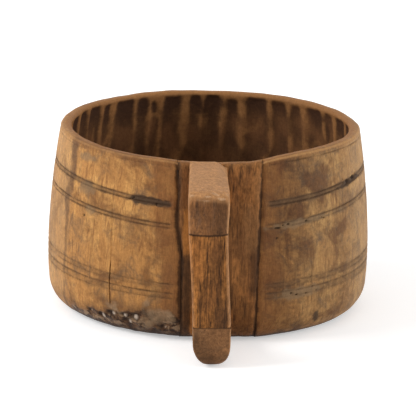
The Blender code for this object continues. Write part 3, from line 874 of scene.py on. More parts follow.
def path_distance(path):
    """How far each place on the wall is from a path of angles and heights."""
    here = np.column_stack([np.radians(degrees % 360) * RIM_RADIUS, height])
    corners = [np.array([math.radians(angle) * RIM_RADIUS, level]) for angle, level in path]
    nearest = np.full(len(flat), 1.0)
    for first, last in zip(corners, corners[1:]):
        along = last - first
        share = np.clip((here - first) @ along / (along @ along), 0, 1)
        nearest = np.minimum(nearest, np.linalg.norm(here - first - share[:, None] * along, axis=1))
    return nearest


def rounded_corner(first, second, radius):
    """Distance from the border of a corner whose two sides are this far away."""
    corner = radius - np.hypot(np.clip(radius - first, 0, None), np.clip(radius - second, 0, None))
    return np.where((first < radius) & (second < radius), corner, np.minimum(first, second))


wander = 1.3 * waves(flat, 0.03) + 0.6 * small
upper_hollow, upper_inset, number = gouged(ridge_angles, wander)
lower_ridges = [ridge + LOWER_SHIFT for ridge in ridge_angles]
lower_hollow, lower_inset, lower_number = gouged(lower_ridges, 2.0 * wander)
tier = fade(0.066, 0.086, height + 0.010 * small)
below_top = np.asarray(gouge_tops)[number] + TOP_LIFT - height + 0.0010 * small + 0.0004 * rough
hollow = (upper_hollow * (1 - tier) + lower_hollow * tier) * ease(0.0, 0.003, below_top) * inside
hollow *= np.where(tier > 0.5, gouge_depths[lower_number], gouge_depths[number])
inset = upper_inset * (1 - tier) + lower_inset * tier - FLARE * fade(0.0, 0.012, below_top)
inset += 0.0009 * rough + 0.0017 * waves(flat + 0.6, (0.008, 0.008, 0.014))
hollow_dirt = ease(-0.0016, 0.0026, rounded_corner(inset, below_top, TOP_ROUND))
smeared = 0.75 * ease(-0.2, 0.5, waves(flat + 0.9, (0.009, 0.009, 0.014))) * ease(0.0, 0.006, below_top)
hollow_dirt = 1 - (1 - hollow_dirt) * (1 - smeared)
from_hook = path_distance([(BACK_ANGLE - angle, level) for angle, level in HOOK_MARK])
hollow_dirt *= 1 - 0.65 * fade(0.0002, 0.0024, from_hook + 0.0006 * rough + 0.0006 * small)
thinner = 0.20 * (1 + 0.8 * waves(flat + 0.2, (0.008, 0.008, 0.012)))
hollow_dirt *= 1 - thinner * ease(0.002, 0.016, below_top)
veins = fade(0.03, 0.16, np.abs(waves(flat, (0.016, 0.016, 0.030))))
veins *= ease(-0.3, 0.3, waves(flat + 0.3, 0.03)) * fade(0.094, 0.108, height)
print("gouge strokes:", len(ridge_angles) - 1)

# %% [markdown]
# ## Turned wall: put the marks into the mesh
# All depths are added up and taken off along the outward direction. The rim isn't level: it is worn down
# at the front, round the handle, and stands highest at the right of it. The stave follows the same dip.

# %% Turned wall: put the marks into the mesh
RIM_DIP = (  # angle from the front, height above the level rim
    (-95, 0.0),
    (-70, -0.0006),
    (-45, -0.0005),
    (-28, -0.0010),
    (-20, -0.0018),
    (-12, -0.0027),
    (-4, -0.0031),
    (6, -0.0031),
    (12, -0.0024),
    (18, -0.0008),
    (24, 0.0004),
    (34, 0.0012),
    (50, 0.0014),
    (68, 0.0006),
    (85, 0.0),
)
PIT_DEPTH = 0.0010
SEAM_DROP = 0.0011
LIP_WEAR = 0.0005


def rim_dip(angle, height):
    return follow(RIM_DIP, angle) * ease(0.098, 0.1165, height)


def lip_share(height):
    """0 below the rounded lip, 1 on top of it."""
    return ease(BOWL_HEIGHT - 2 * LIP_ROUND, BOWL_HEIGHT - LIP_ROUND / 2, height)


depth = 0.0003 * slow * (outside | inside) + 0.00014 * small * outside
depth += LINE_DEPTH * line_depth + flake_depth + CRACK_DEPTH * crack_mask + PIT_DEPTH * pit_mask
depth += GOUGE_DEPTH * hollow
at_seam = fade(0.0, 0.0024, seam_distance + 0.0005 * rough) * ease(0.004, 0.012, height)
depth += SEAM_DROP * at_seam * outside
outward, upward = section_normals(section)[wall_row].T
leaning = np.where(lifted, outer_radius(drawn_height) - outer_radius(height), 0)
final_radius = radius + leaning - depth * outward
final_height = drawn_height - depth * upward + rim_dip(degrees, height)
final_height -= lip_share(height) * LIP_WEAR * np.clip(0.5 + slow + 0.5 * small, 0, 1.6)
final_height = np.maximum(final_height, 0.0)
move_points(wall, round_axis(final_radius, final_height))
shade_smooth(wall, 40)
print("wall: deepest mark", round(float(depth.max()) * 1000, 2), "mm")

# %% [markdown]
# ## Turned wall: where the dirt, wear, painted light and painted shade are
# Each kind of dirt or wear is painted as a mask, and so are painted light and painted shade. Dirt fills the
# lines, and a grey film lies round the lines, more so on the right. The open part of the crack is painted
# near black as the shade inside it, and fainter up its hairline. Close to the stave the wood is rubbed redder
# and the seam is black, and right of the stave painted shade darkens the wall towards the seam. The far left
# and far right sides are painted paler as painted light, and the right and the back are greyer and darker. An
# upright dark flaw runs down on the left. The lip's rounded outer edge has a painted highlight, and the lip
# is dirty at the front left. Towards the bottom the wall is darker: painted shade under the foot, and dirt.

# %% Turned wall: where the dirt, wear, painted light and painted shade are
FLAW_PATH = ((0.0, -67.5), (0.053, -65.5), (0.080, -67.0), (0.100, -65.0), (0.12, -66.5))
FLAW_WIDTH = ((0.0, 1.2), (0.060, 1.2), (0.085, 2.4), (0.12, 3.4))
DARK_PATCHES = (  # from angle to angle, from height to height: dirt packed into worn lines
    (-35, -18, 0.0880, 0.0926),
    (52, 68, 0.0885, 0.0915),
    (38.0, 40.3, 0.0090, 0.0175),
)
PUTTY_PATCHES = (  # old grey filler
    (20, 46, 0.0735, 0.0778),
    (22, 38, 0.0275, 0.0335),
    (-61, -53, 0.1065, 0.1140),
    (-59, -52, 0.0840, 0.0915),
    (-55, -49, 0.0720, 0.0770),
)
# paler far left and far right sides: painted light where the bowl's sides face the lamps
LIT_FAR_SIDES = (  # angle, strength
    (-125, 0.0),
    (-95, 1.0),
    (-68, 1.0),
    (-62, 0.0),
    (50, 0.0),
    (68, 1.0),
    (100, 1.0),
    (130, 0.0),
)
SOILED_BANDS = (  # height, half width, strength on the left and on the right
    (0.0906, 0.0026, 0.60, 0.95),
    (0.0763, 0.0030, 0.40, 0.55),
    (0.0374, 0.0034, 0.40, 0.50),
    (0.0312, 0.0034, 0.45, 0.55),
)


def patches(places):
    """One mask for several patches that follow the lines."""
    mask = np.zeros(len(flat))
    for left, right, low, high in places:
        along = (degrees - (left + right) / 2) / (right - left)
        upright = (height - (low + high) / 2) / (high - low)
        mask = np.maximum(mask, fade(0.30, 0.75, np.hypot(along, upright) + 0.30 * rough + 0.25 * small))
    return mask * outside


flaw_away = np.abs(degrees - follow(FLAW_PATH, drawn_height) + 0.9 * small + 0.6 * rough)
flaw = fade(0.3, 1.5, flaw_away / follow(FLAW_WIDTH, drawn_height))
soiled = np.zeros(len(flat))
for level, half, left, right in SOILED_BANDS:
    band = fade(0.3 * half, 1.5 * half, np.abs(height - level + 0.001 * small))
    soiled = np.maximum(soiled, band * by_side(left, right) * ease(0.002, 0.008, seam_distance))
# greyer and darker on the right and round the back
weathered = ease(-10, 50, degrees) * fade(120, 170, degrees)
weathered += ease(-170, -140, degrees) * fade(-130, -100, degrees)
ragged_seam = seam_distance + 0.0009 * small + 0.0008 * rough
warm_spots = ease(-0.2, 0.4, waves(flat, (0.009, 0.009, 0.018)))
in_depth = 1 - ease(0.090, 0.114, height) * (1 - 0.5 * ease(0.2, 0.8, np.sin(turn)))
rim_band = ease(BOWL_HEIGHT - 0.0040, BOWL_HEIGHT - 0.0010, height + 0.0010 * small)
rim_band *= ease(BOWL_HEIGHT - 0.0030, BOWL_HEIGHT - 0.0010, height)
# painted highlight on the lip's rounded outer edge
lip_highlight = ease(0.35, 0.65, upward) * fade(0.85, 0.97, upward) * (height > FOOT_ROUND)
lip_side = ease(BOWL_HEIGHT - 0.0060, BOWL_HEIGHT - 0.0020, height + 0.0012 * small)
front_left = ease(-75, -62, degrees) * fade(-8, 0, degrees)
wall_masks = {
    "lines": np.clip(1.3 * line_depth, 0, 1),
    "soiled": soiled * (1 + 0.35 * np.clip(small, 0, 1)) * outside,
    "weathered": weathered * outside,
    # painted light on the far left and far right sides
    "bleached": follow(LIT_FAR_SIDES, degrees) * outside,
    "broken": broken,
    # the open crack painted near black as the shade inside it, fainter up the hairline
    "crack": np.clip(crack_mask * 3, 0, 1),
    "pits": pit_mask,
    "flaw": flaw * (0.8 + 0.5 * slow + 0.3 * small) * outside,
    "break_dirt": fade(-0.002, 0.012, above_break + 0.006 * small) * in_break,
    "packed": patches(DARK_PATCHES),
    "putty": patches(PUTTY_PATCHES),
    "rubbed": fade(0.008, 0.020, seam_distance + 0.004 * small) * by_side(1.0, 0.5) * outside,
    # painted shade on the wall right of the stave, darkest at the seam and gone 60 mm away
    "brown": fade(0.0, 0.060, seam_distance + 0.010 * slow) * by_side(0.0, 1.0) * outside,
    "seam_dirt": fade(0.0, by_side(0.0032, 0.0014), ragged_seam) * outside,
    "lumps": lumps,
    "chip_shade": chip_shade,
    # pale raised splinters whose colour also carries painted glints
    "chips": chips,
    "inside": inside * 1.0,
    "hollow": hollow_dirt * (1 - 0.6 * veins) * inside,
    "warm_hollow": (0.3 + 0.7 * warm_spots) * in_depth * inside,
    # painted highlight on the lip's rounded outer edge
    "lip_highlight": lip_highlight * by_side(0.6, 1.0) * outside,
    "lip_dirt": lip_side * front_left * (0.6 + 0.8 * small) * outside,
    "rim": rim_band * np.where(outside, 0.7, 1.0),
    # darker towards the bottom: painted shade under the foot, and dirt
    "underside": fade(0.0004, 0.0060 + 0.003 * in_break, height) * outside,
}
paint(wall, **wall_masks)
print("wall masks:", len(wall_masks))

# %% [markdown]
# ## Turned wall: finish
# The layers lie on top of each other in the order in which they came: first the colour of the wood, then
# wear and dirt, with painted shade and painted light among them. The broken edge is smoother than the rest,
# so it glints. Each row is a mask, its colour, strength and roughness, and how ragged and how soft its border
# is.

# %% Turned wall: finish
wall_finish = WoodFinish(
    "turned_wall",
    ((208, 155, 90), (179, 127, 72), (122, 81, 48), (116, 88, 62)),
    (0.8, 0.95, 0.9, 0.25, 1.0),
    roughness=0.55,
    squash=2.0,
)
wall_finish.layers(
    # greyer and darker on the right and round the back
    ("weathered", (196, 212, 242), 0.65, 0.6, 1.0, 0.5, "MULTIPLY"),
    # painted shade on the wall right of the stave
    ("brown", (166, 152, 146), 0.75, 0.55, 1.0, 0.5, "MULTIPLY"),
    # painted light on the far left and far right sides
    ("bleached", (200, 162, 116), 0.26, 0.6, 1.2, 0.5),
    ("rubbed", (124, 78, 43), 0.7, 0.50, 0.8, 0.4),
    ("flaw", (96, 69, 48), 0.9, 0.6, 0.9, 0.45),
    ("soiled", (90, 69, 50), 0.75, 0.7, 1.0, 0.4),
    ("putty", (132, 107, 79), 0.65, 0.7, 1.3, 0.5),
    ("break_dirt", (106, 74, 49), 0.65, 0.6, 1.2, 0.5),
    ("packed", (70, 54, 41), 0.9, 0.7, 1.6, 0.45),
    ("lines", (70, 49, 33), 0.7, 0.7, 0.9, 0.5),
    ("seam_dirt", (52, 34, 22), 0.85, 0.7, 1.0, 0.35),
)
wall_finish.broken("broken", (52, 34, 23), (100, 71, 48), (142, 114, 87), 0.0056)
wall_finish.layers(
    ("lumps", (150, 123, 94), 0.55, 0.6, 1.8, 0.5),
    # painted shade and dirt towards the bottom
    ("underside", (52, 34, 23), 0.85, 0.6, 0.7, 0.45),
    ("chip_shade", (36, 23, 17), 0.85, 0.6, 0.9, 0.5),
    # pale splinters with painted glints
    ("chips", (196, 177, 158), 0.8, 0.35, 1.3, 0.5),
    ("pits", (36, 25, 18), 0.8, 0.8, 0.6, 0.4),
    ("inside", (146, 101, 61), 0.9, 0.7, 0.0),
    ("hollow", (64, 41, 27), 1.0, 0.75, 0.7, 0.5),
    ("warm_hollow", (122, 81, 50), 0.62, 0.75, 1.2, 0.5),
    ("rim", (146, 101, 59), 0.75, 0.55, 1.2, 0.5),
    ("lip_dirt", (104, 66, 38), 0.6, 0.5, 1.4, 0.5),
    # painted highlight on the lip's rounded outer edge
    ("lip_highlight", (196, 150, 98), 0.4, 0.5, 1.4, 0.5),
    # painted shade in the open crack
    ("crack", (24, 15, 11), 0.95, 0.8, 0.3),
)
stands_for(wall, wall_finish.finish(0.4), "bowl_wall")

# %% [markdown]
# ## Flat stave: shape
# The stave has the same section as the wall, but it is a straight board: flat across, where the wall is
# round. So the same kind of loop is stretched sideways, step by step, with extrude. Then its two edges
# are slid onto the seams, which come closer together towards the foot. Its inside was gouged like the wall,
# and its edges have crumbled in places.

# %% Flat stave: shape
STAVE_INSET = 0.0034
STAVE_COLUMNS = 60
STAVE_INSIDE_ROWS = 46
STAVE_HOLLOWS = 4.3  # gouge strokes side by side
STAVE_GOUGE_DEPTH = 0.0009
STAVE_LIP_WEAR = 0.0004
EDGE_DROP, NOTCH_DEPTH = 0.0010, 0.0015
SEAM_NOTCHES = (  # side, height and size of the places where an edge has crumbled
    (1, 0.110, 0.005),
    (1, 0.097, 0.003),
    (1, 0.0815, 0.005),
    (1, 0.074, 0.003),
    (1, 0.064, 0.006),
    (1, 0.053, 0.004),
    (1, 0.036, 0.003),
    (-1, 0.111, 0.003),
    (-1, 0.100, 0.004),
    (-1, 0.087, 0.003),
    (-1, 0.060, 0.004),
    (-1, 0.044, 0.003),
)


def stave_face(height):
    return STAVE_INSET - outer_radius(height)


def stretch_stave():
    for _ in range(STAVE_COLUMNS):
        bpy.ops.mesh.extrude_region_move(TRANSFORM_OT_translate={"value": (1.0 / STAVE_COLUMNS, 0.0, 0.0)})
    close_up()


stave_section = wall_section((), STAVE_INSIDE_ROWS)
stave = new_loop("flat_stave", stave_section)
move_points(stave, np.column_stack([np.zeros(len(stave_section)), -stave_section[:, 0], stave_section[:, 1]]))
in_edit_mode(stave, stretch_stave)

stave_row = rows_of(stave)
radius, height, side = stave_section[stave_row].T
across = points_of(stave)[:, 0]
left, right = seam_x(-1, height) + SEAM_GAP / 2, seam_x(1, height) - SEAM_GAP / 2
x = left + (right - left) * across
flat = np.column_stack([x, STAVE_INSET - radius, height])
outside, inside = side == OUTSIDE, side == INSIDE
from_left, from_right = x - left, right - x
from_edge = np.minimum(from_left, from_right)

ripples = waves(flat, (0.006, 0.02, 0.11))
dents = waves(flat, (0.012, 0.012, 0.018))
rough = waves(flat, (0.004, 0.004, 0.007))
edge_drop = EDGE_DROP * fade(0.0, 0.0024, from_edge + 0.0005 * rough)
crumbled = np.zeros(len(flat))
for notch_side, level, size in SEAM_NOTCHES:
    from_seam = from_right if notch_side > 0 else from_left
    from_notch = np.hypot(from_seam * 1.6, height - level) + 0.0012 * rough
    crumbled = np.maximum(crumbled, fade(0.1 * size, size, from_notch))
edge_drop = np.maximum(edge_drop, NOTCH_DEPTH * crumbled)
stave_hollow = 1 - np.abs(2 * ((across * STAVE_HOLLOWS + 0.12 * dents) % 1.0) - 1) ** HOLLOW_POWER
stave_hollow *= ease(0.0, 0.003, 0.1165 - height) * inside
depth = (0.00025 * ripples + 0.00018 * dents) * (outside | inside)
depth += edge_drop * outside * ease(0.003, 0.01, height) + STAVE_GOUGE_DEPTH * stave_hollow
outward, upward = section_normals(stave_section)[stave_row].T
flat[:, 1] += depth * outward
flat[:, 2] = height - depth * upward + rim_dip(np.degrees(np.arctan2(x, -flat[:, 1])), height)
flat[:, 2] -= lip_share(height) * STAVE_LIP_WEAR * np.clip(0.5 + dents, 0, 1.6)
flat[:, 2] = np.maximum(flat[:, 2], 0.0)
move_points(stave, flat)
print("stave:", len(flat), "points")

# %% [markdown]
# ## Flat stave: where the dirt, wear, painted light and painted shade are
# The stave is dirty along the seams, more widely on the left, and it has one stain at the right. Low down
# on the left, beside the handle's foot, it is darker. Two warm streaks lie left of the handle, and the right
# half has a paler patch higher up, with a painted highlight along its right edge near the rim. Towards the
# bottom it is darker: painted shade under the foot, and dirt.

# %% Flat stave: where the dirt, wear, painted light and painted shade are


def spot(place_x, low, high, half_width, soft=0.012):
    """A tall soft patch on the outside of the stave, round an upright line."""
    beside = fade(0.4 * half_width, 1.4 * half_width, np.abs(x - place_x) + 0.0016 * dents)
    tall = ease(low - soft / 2, low + soft / 2, height) * fade(high - soft / 2, high + soft / 2, height)
    return beside * tall * outside


stain_x = seam_x(1, 0.045) - 0.0030
low_down = fade(0.052, 0.064, height)
along_seam = fade(0.0, np.where(x < 0, 0.0026, 0.0018), from_edge + 0.0008 * dents + 0.0006 * rough)
warm_spots = ease(-0.1, 0.5, waves(flat, (0.03, 0.03, 0.045)))
stave_masks = {
    "inside": inside * 1.0,
    "hollow": np.clip(1.5 * stave_hollow, 0, 1),
    "warm_hollow": warm_spots * inside * (1 - lip_share(height)),
    "rim": ease(BOWL_HEIGHT - 0.006, BOWL_HEIGHT - 0.0025, height) * np.where(outside, 0.4, 1.0),
    "warm": np.maximum(spot(-0.0205, 0.060, 0.088, 0.0026), spot(-0.0150, 0.000, 0.026, 0.0024)),
    # a paler patch on the right half, and a painted highlight along the right edge near the rim
    "pale": np.maximum(spot(0.0205, 0.060, 0.090, 0.005), 0.7 * spot(0.0240, 0.090, 0.116, 0.003)),
    "stain": 0.9 * spot(stain_x, 0.032, 0.063, 0.0030),
    "seam_dirt": np.maximum(along_seam, 0.8 * crumbled) * outside,
    # darker low down on the left, beside the handle's foot
    "low_dirt": fade(0.004, 0.008, from_left + 0.0015 * dents + 0.002 * ripples) * low_down * outside,
    "scratches": spot(0.0170, 0.0235, 0.0245, 0.0035, 0.0012) + spot(0.0175, 0.0265, 0.0272, 0.003, 0.0012),
    # darker towards the bottom: painted shade under the foot, and dirt
    "underside": fade(0.0004, 0.0060, height) * outside,
}
paint(stave, **stave_masks)
print("stave masks:", len(stave_masks))

# %% [markdown]
# ## Flat stave: holes for the tenons
# The upper tenon goes through the stave, the lower one ends inside it. The holes are cut with boxes that
# are a little larger than the tenons, as a chisel would.

# %% Flat stave: holes for the tenons
TENON_WIDTH = 0.011
TENON_PLAY = 0.0003
JOINT_GAP = 0.0003
wedge_boxes = [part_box(f"{word}_tenon_wedge") for word in ("upper", "lower")]
UPPER_ROOT_X, LOWER_ROOT_X = ((low + high).x / 2 for low, high in wedge_boxes)
UPPER_TENON = (0.09377, 0.10851)  # from height to height
LOWER_TENON = (0.01171, 0.02199)
LOWER_TENON_DEPTH = 0.008
BEFORE_STAVE, BEHIND_STAVE = -0.12, -0.05


def tenon_box(name, middle_x, levels, y_range, play):
    """A box as large as a tenon, and larger by some play."""
    half = TENON_WIDTH / 2 + play
    ranges = np.array([(middle_x - half, middle_x + half), y_range, (levels[0] - play, levels[1] + play)])
    made = new_shape(name, bpy.ops.mesh.primitive_cube_add, size=1.0)
    move_points(made, points_of(made) * np.ptp(ranges, axis=1) + ranges.mean(axis=1))
    return made


def carve(thing, cutter, operation="DIFFERENCE"):
    """Cut a solid with another one, which is used up."""
    apply_modifier(thing, "BOOLEAN", operation=operation, solver="EXACT", object=cutter)
    bpy.data.objects.remove(cutter, do_unlink=True)


lower_end = stave_face(LOWER_TENON[0]) + LOWER_TENON_DEPTH
upper_depth = (BEFORE_STAVE, BEHIND_STAVE)
lower_depth = (BEFORE_STAVE, lower_end + TENON_PLAY)
carve(stave, tenon_box("upper_hole", UPPER_ROOT_X, UPPER_TENON, upper_depth, TENON_PLAY))
carve(stave, tenon_box("lower_hole", LOWER_ROOT_X, LOWER_TENON, lower_depth, TENON_PLAY))
shade_smooth(stave, 40)
print("stave with holes:", len(stave.data.vertices), "points")

# %% [markdown]
# ## Flat stave: finish
# The stave's wood is redder than the wall's and its streaks are straight. The rows are as for the wall.

# %% Flat stave: finish
stave_finish = WoodFinish(
    "flat_stave",
    ((160, 106, 58), (123, 80, 45), (74, 48, 28), (96, 66, 40)),
    (1.0, 0.6, 0.3, 0.5, 1.8),
    roughness=0.5,
)
stave_finish.layers(
    ("pale", (142, 99, 60), 0.6, 0.5, 1.2, 0.5),
    ("stain", (60, 40, 26), 0.6, 0.6, 0.9, 0.45),
    ("scratches", (54, 36, 24), 0.7, 0.6, 0.9),
    ("low_dirt", (60, 40, 25), 0.7, 0.6, 1.2, 0.45),
    ("warm", (178, 114, 55), 0.75, 0.5, 1.2, 0.4),
    ("seam_dirt", (48, 32, 21), 0.8, 0.7, 1.0, 0.35),
    # painted shade and dirt towards the bottom
    ("underside", (48, 32, 21), 0.8, 0.6, 0.5, 0.4),
    ("inside", (150, 104, 60), 1.0, 0.7, 0.0),
    ("hollow", (78, 50, 31), 0.92, 0.75, 0.9),
    ("warm_hollow", (112, 70, 38), 0.5, 0.75, 0.8, 0.4),
    ("rim", (146, 102, 60), 0.6, 0.55, 1.0, 0.4),
)
stands_for(stave, stave_finish.finish(0.45), "handle_stave")

# %% [markdown]
# ## Pitch in the seams
# The two seams were filled with pitch, which has shrunk and fallen out in places. Each strip starts as a
# cylinder as long as the seam. Its rings are moved onto the seam, made thinner or thicker by noise, and
# sunk where the filling is gone.

# %% Pitch in the seams
PITCH_LOW, PITCH_HIGH = 0.011, 0.1125
PITCH_RINGS, PITCH_SIDES = 150, 12
PITCH_HALF_WIDTH, PITCH_HALF_DEPTH = 0.00065, 0.0006
LOST_PITCH = {  # side, then height and size of each place where it fell out
    -1: ((0.100, 0.006), (0.0595, 0.005)),
    1: ((0.110, 0.005), (0.082, 0.004), (0.05, 0.008)),
}
PITCH_SUNK, LOST_DEPTH = 0.0009, 0.0012


def seam_face(height):
    """Y of the stave's outer face, along the rounded lower edge too."""
    below = np.clip(FOOT_ROUND - height, 0.0, FOOT_ROUND)
    return stave_face(height) + FOOT_ROUND - np.sqrt(FOOT_ROUND**2 - below**2)


pitch_finish = WoodFinish(
    "seam_pitch",
    ((74, 52, 36), (52, 37, 26), (18, 13, 10), (66, 50, 38)),
    (0.8, 0.9, 0.5, 0.2, 1.5),
    roughness=0.6,
    squash=3.0,
)
pitch_material = pitch_finish.finish(0.7)
round_bar = {"vertices": PITCH_SIDES, "radius": 1.0, "depth": 1.0, "end_fill_type": "NGON"}
for strip_side, word in ((-1, "left"), (1, "right")):
    strip = new_shape(f"seam_filling_{word}", bpy.ops.mesh.primitive_cylinder_add, **round_bar)
    only(strip)
    for edge in strip.data.edges:
        ends = [strip.data.vertices[corner].co.z for corner in edge.vertices]
        edge.select = abs(ends[0] - ends[1]) > 0.5
    bpy.ops.object.mode_set(mode="EDIT")
    bpy.ops.mesh.select_mode(type="EDGE")
    bpy.ops.mesh.subdivide_edgering(number_cuts=PITCH_RINGS - 1)
    bpy.ops.object.mode_set(mode="OBJECT")
    ring = points_of(strip)
    height = PITCH_LOW + (PITCH_HIGH - PITCH_LOW) * (ring[:, 2] + 0.5)
    lumps = waves(np.column_stack([ring[:, :2] * 0.3 + strip_side, height / 0.005]), 1.0)
    sunk = PITCH_SUNK + 0.0003 * lumps
    for level, size in LOST_PITCH[strip_side]:
        sunk += LOST_DEPTH * fade(0.3 * size, size, np.abs(height - level))
    wide = PITCH_HALF_WIDTH * (1 + 0.25 * lumps)
    strip_x = seam_x(strip_side, height) + wide * ring[:, 0]
    strip_y = seam_face(height) + sunk + PITCH_HALF_DEPTH * (1 + ring[:, 1])
    move_points(strip, np.column_stack([strip_x, strip_y, height]))
    shade_smooth(strip, 50)
    stands_for(strip, pitch_material, f"seam_pitch_{word}")

# %% [markdown]
# ## Handle blocks: how they are worn round
# Each block of the handle starts as a side outline stretched into a solid. Hands have worn it, so the
# solid is remeshed into small even cells and smoothed, which rounds every edge. A vertex group holds back
# the joint faces and the shoulders, which stay flat. Noise then moves the surface a little.

# %% Handle blocks: how they are worn round
HANDLE_REACH = 0.157
HANDLE_THICKNESS = 0.023
UPPER_JOINT, LOWER_JOINT = 0.0864, 0.0267
LINE_GAP = 0.00006  # half of what stays open between two blocks
HANDLE_SWING = 0.0028  # how far the handle leans to the right on its way back to the belly
UPPER_ARM_X, LOWER_ARM_X = -0.0107, -0.0073  # middle of the outer face
CELL = 0.0007
ARM_ARCH = 0.004  # how far the hollow of an arm rises from the joint to the stave
OUTLINE_STEPS = 8
TENON_START = -0.104  # inside the arm
JOINT_BOW, BOW_REACH = 0.0009, 0.012  # rise of the joint at this distance from its middle
UP_TO_STAVE = 0.0008  # before the stave's face, where an arm begins to turn into its tenon
LYING = (math.pi / 2, 0.0, 0.0)  # turns the grain from upright to front and back
CROOKED = (math.radians(14), 0.0, 0.0)  # nearly upright, as in a bent branch where it comes out of the elbow
grip_back = HANDLE_THICKNESS - HANDLE_REACH


def solid_outline(name, outline, stretch):
    """A loop of places, filled and extruded along a vector."""
    made = new_shape(name, bpy.ops.mesh.primitive_circle_add, vertices=len(outline), fill_type="NGON")
    move_points(made, outline)

    def pull_out():
        bpy.ops.mesh.extrude_region_move(TRANSFORM_OT_translate={"value": stretch})
        bpy.ops.mesh.select_all(action="SELECT")
        bpy.ops.mesh.normals_make_consistent(inside=False)

    in_edit_mode(made, pull_out)
    return made


def join_to(thing, other):
    only(thing)
    other.select_set(True)
    bpy.ops.object.join()


def wear_round(thing, passes, joints):
    """Remesh and smooth. Joints are the heights of flat faces, which first get back their exact place."""
    apply_modifier(thing, "REMESH", mode="VOXEL", voxel_size=CELL)
    places = points_of(thing)
    _, y, z = places.T
    free = ease(0.0008, 0.0022, stave_face(z) - y)
    for joint in joints:
        z[np.abs(z - joint) < 0.7 * CELL] = joint
        from_joint = ease(0.0, 0.0016, np.abs(z - joint))
        free *= np.where(y < grip_back + 0.001, from_joint, 1.0)
    move_points(thing, places)
    group = thing.vertex_groups.new(name="worn")
    for number, weight in enumerate(free):
        group.add([number], float(weight), "REPLACE")
    apply_modifier(thing, "SMOOTH", factor=0.5, iterations=passes, vertex_group="worn")
    shade_smooth(thing, 55)


def swing(y):
    """How far the handle's middle lies to the right of where it is at the outer face."""
    return HANDLE_SWING * (HANDLE_REACH + y) / (HANDLE_REACH - BELLY_RADIUS)


def tenon_share(y, z):
    """0 where an arm is in front of the stave, 1 where it is a tenon inside it."""
    return ease(-UP_TO_STAVE, 0.0, y - stave_face(z))


def joint_bow(x, z):
    """The upper joint isn't quite level: it curves up towards both sides."""
    near = fade(0.0, 0.011, np.abs(z - UPPER_JOINT))
    return JOINT_BOW * ((x - UPPER_ARM_X) / BOW_REACH) ** 2 * near


def lit_and_rubbed_edges(thing):
    """The upright edges and sides, paler partly where hands rub them and partly as a painted highlight where
    they catch the light, the right ones more than the left ones.
    """
    sideways = normals_of(thing)[:, 0]
    return ease(0.15, 0.60, np.abs(sideways)) * np.where(sideways < 0, 0.5, 1.0)


def along_stave(low, high):
    """Places on the stave's face between two heights, with a thin gap."""
    levels = np.linspace(low, high, OUTLINE_STEPS)
    return [(float(seam_face(level)) - JOINT_GAP, level) for level in levels]


def arch(joint):
    """The hollow of an arm between the grip's back and the stave."""
    y_places = np.linspace(grip_back, float(stave_face(joint + ARM_ARCH)) - JOINT_GAP, OUTLINE_STEPS)
    rise = np.sin(np.linspace(0, math.pi / 2, OUTLINE_STEPS)) ** 1.5
    return [(y, joint + ARM_ARCH * share) for y, share in zip(y_places, rise)]


print("cells of", CELL * 1000, "mm")

# %% [markdown]
# ## Upper arm
# The upper arm leaves the stave level with the worn rim, slopes down slightly and turns down in a rounded
# elbow. It is narrower at the stave, and swings a little to the right there.

# %% Upper arm
ARM_TOP = 0.1184
ELBOW_TOP = 0.1134
ELBOW_ROUND = 0.0085
UPPER_PASSES = 40  # of smoothing
ROOT_WIDTH, ELBOW_WIDTH, NECK_WIDTH = 0.0240, 0.0264, 0.0248
CORNER_DROP = 0.0042  # at the right of the root
arm_root = float(stave_face(ARM_TOP))
upper_low = UPPER_JOINT + LINE_GAP

outline = arc((ELBOW_ROUND - HANDLE_REACH, ELBOW_TOP - ELBOW_ROUND), ELBOW_ROUND, 90, 180, 10)
outline += [(-HANDLE_REACH, upper_low)]
outline += arch(upper_low)
outline += along_stave(upper_low + ARM_ARCH, ARM_TOP)[1:]
upper_arm = solid_outline("handle_elbow", [(-0.5, y, z) for y, z in outline], (1.0, 0.0, 0.0))
places = points_of(upper_arm)
places[:, 0] *= ELBOW_WIDTH
move_points(upper_arm, places)
upper_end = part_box("upper_tenon_wedge")[1].y - 0.0005
join_to(upper_arm, tenon_box("upper_tenon", 0.0, UPPER_TENON, (TENON_START, upper_end), 0.0))
wear_round(upper_arm, UPPER_PASSES, [upper_low])

places = points_of(upper_arm)
x, y, z = places.T
in_stave = tenon_share(y, z)
share = np.clip((y - arm_root) / (-HANDLE_REACH - arm_root), 0, 1)
width = ROOT_WIDTH + (ELBOW_WIDTH - ROOT_WIDTH) * share
width -= (ELBOW_WIDTH - NECK_WIDTH) * fade(UPPER_JOINT, UPPER_JOINT + 0.02, z) * share
x *= 1 + (width / ELBOW_WIDTH - 1) * (1 - in_stave)
z -= CORNER_DROP * ease(0.004, 0.0125, x) * (1 - share) * ease(0.106, 0.114, z)
middle = UPPER_ARM_X + swing(y)
x += middle + (UPPER_ROOT_X - middle) * in_stave
z += joint_bow(x, z)
free = ease(0.0015, 0.004, z - UPPER_JOINT) * (1 - in_stave)
from_elbow = np.hypot(y + HANDLE_REACH - 0.004, z - ELBOW_TOP + 0.002)
dents = 0.00025 * waves(places, 0.012) + 0.0002 * fade(0.004, 0.011, from_elbow) * waves(places, 0.0035)
move_points(upper_arm, places + normals_of(upper_arm) * (dents * free)[:, None])
print("upper arm: root", ROOT_WIDTH, "elbow", ELBOW_WIDTH)

# %% [markdown]
# ## Upper arm: finish
# The top and the sides are painted paler: partly worn by hands, partly painted light, since the top faces
# the light from above and the sides catch it too. The border at the elbow is ragged. The front is dark. The
# masks come from the direction that the surface faces.

# %% Upper arm: finish
_, facing_y, facing_z = normals_of(upper_arm).T
places = points_of(upper_arm)
x, y, z = places.T
unevenness = 0.12 * waves(places, 0.012) + 0.05 * waves(places, 0.004)
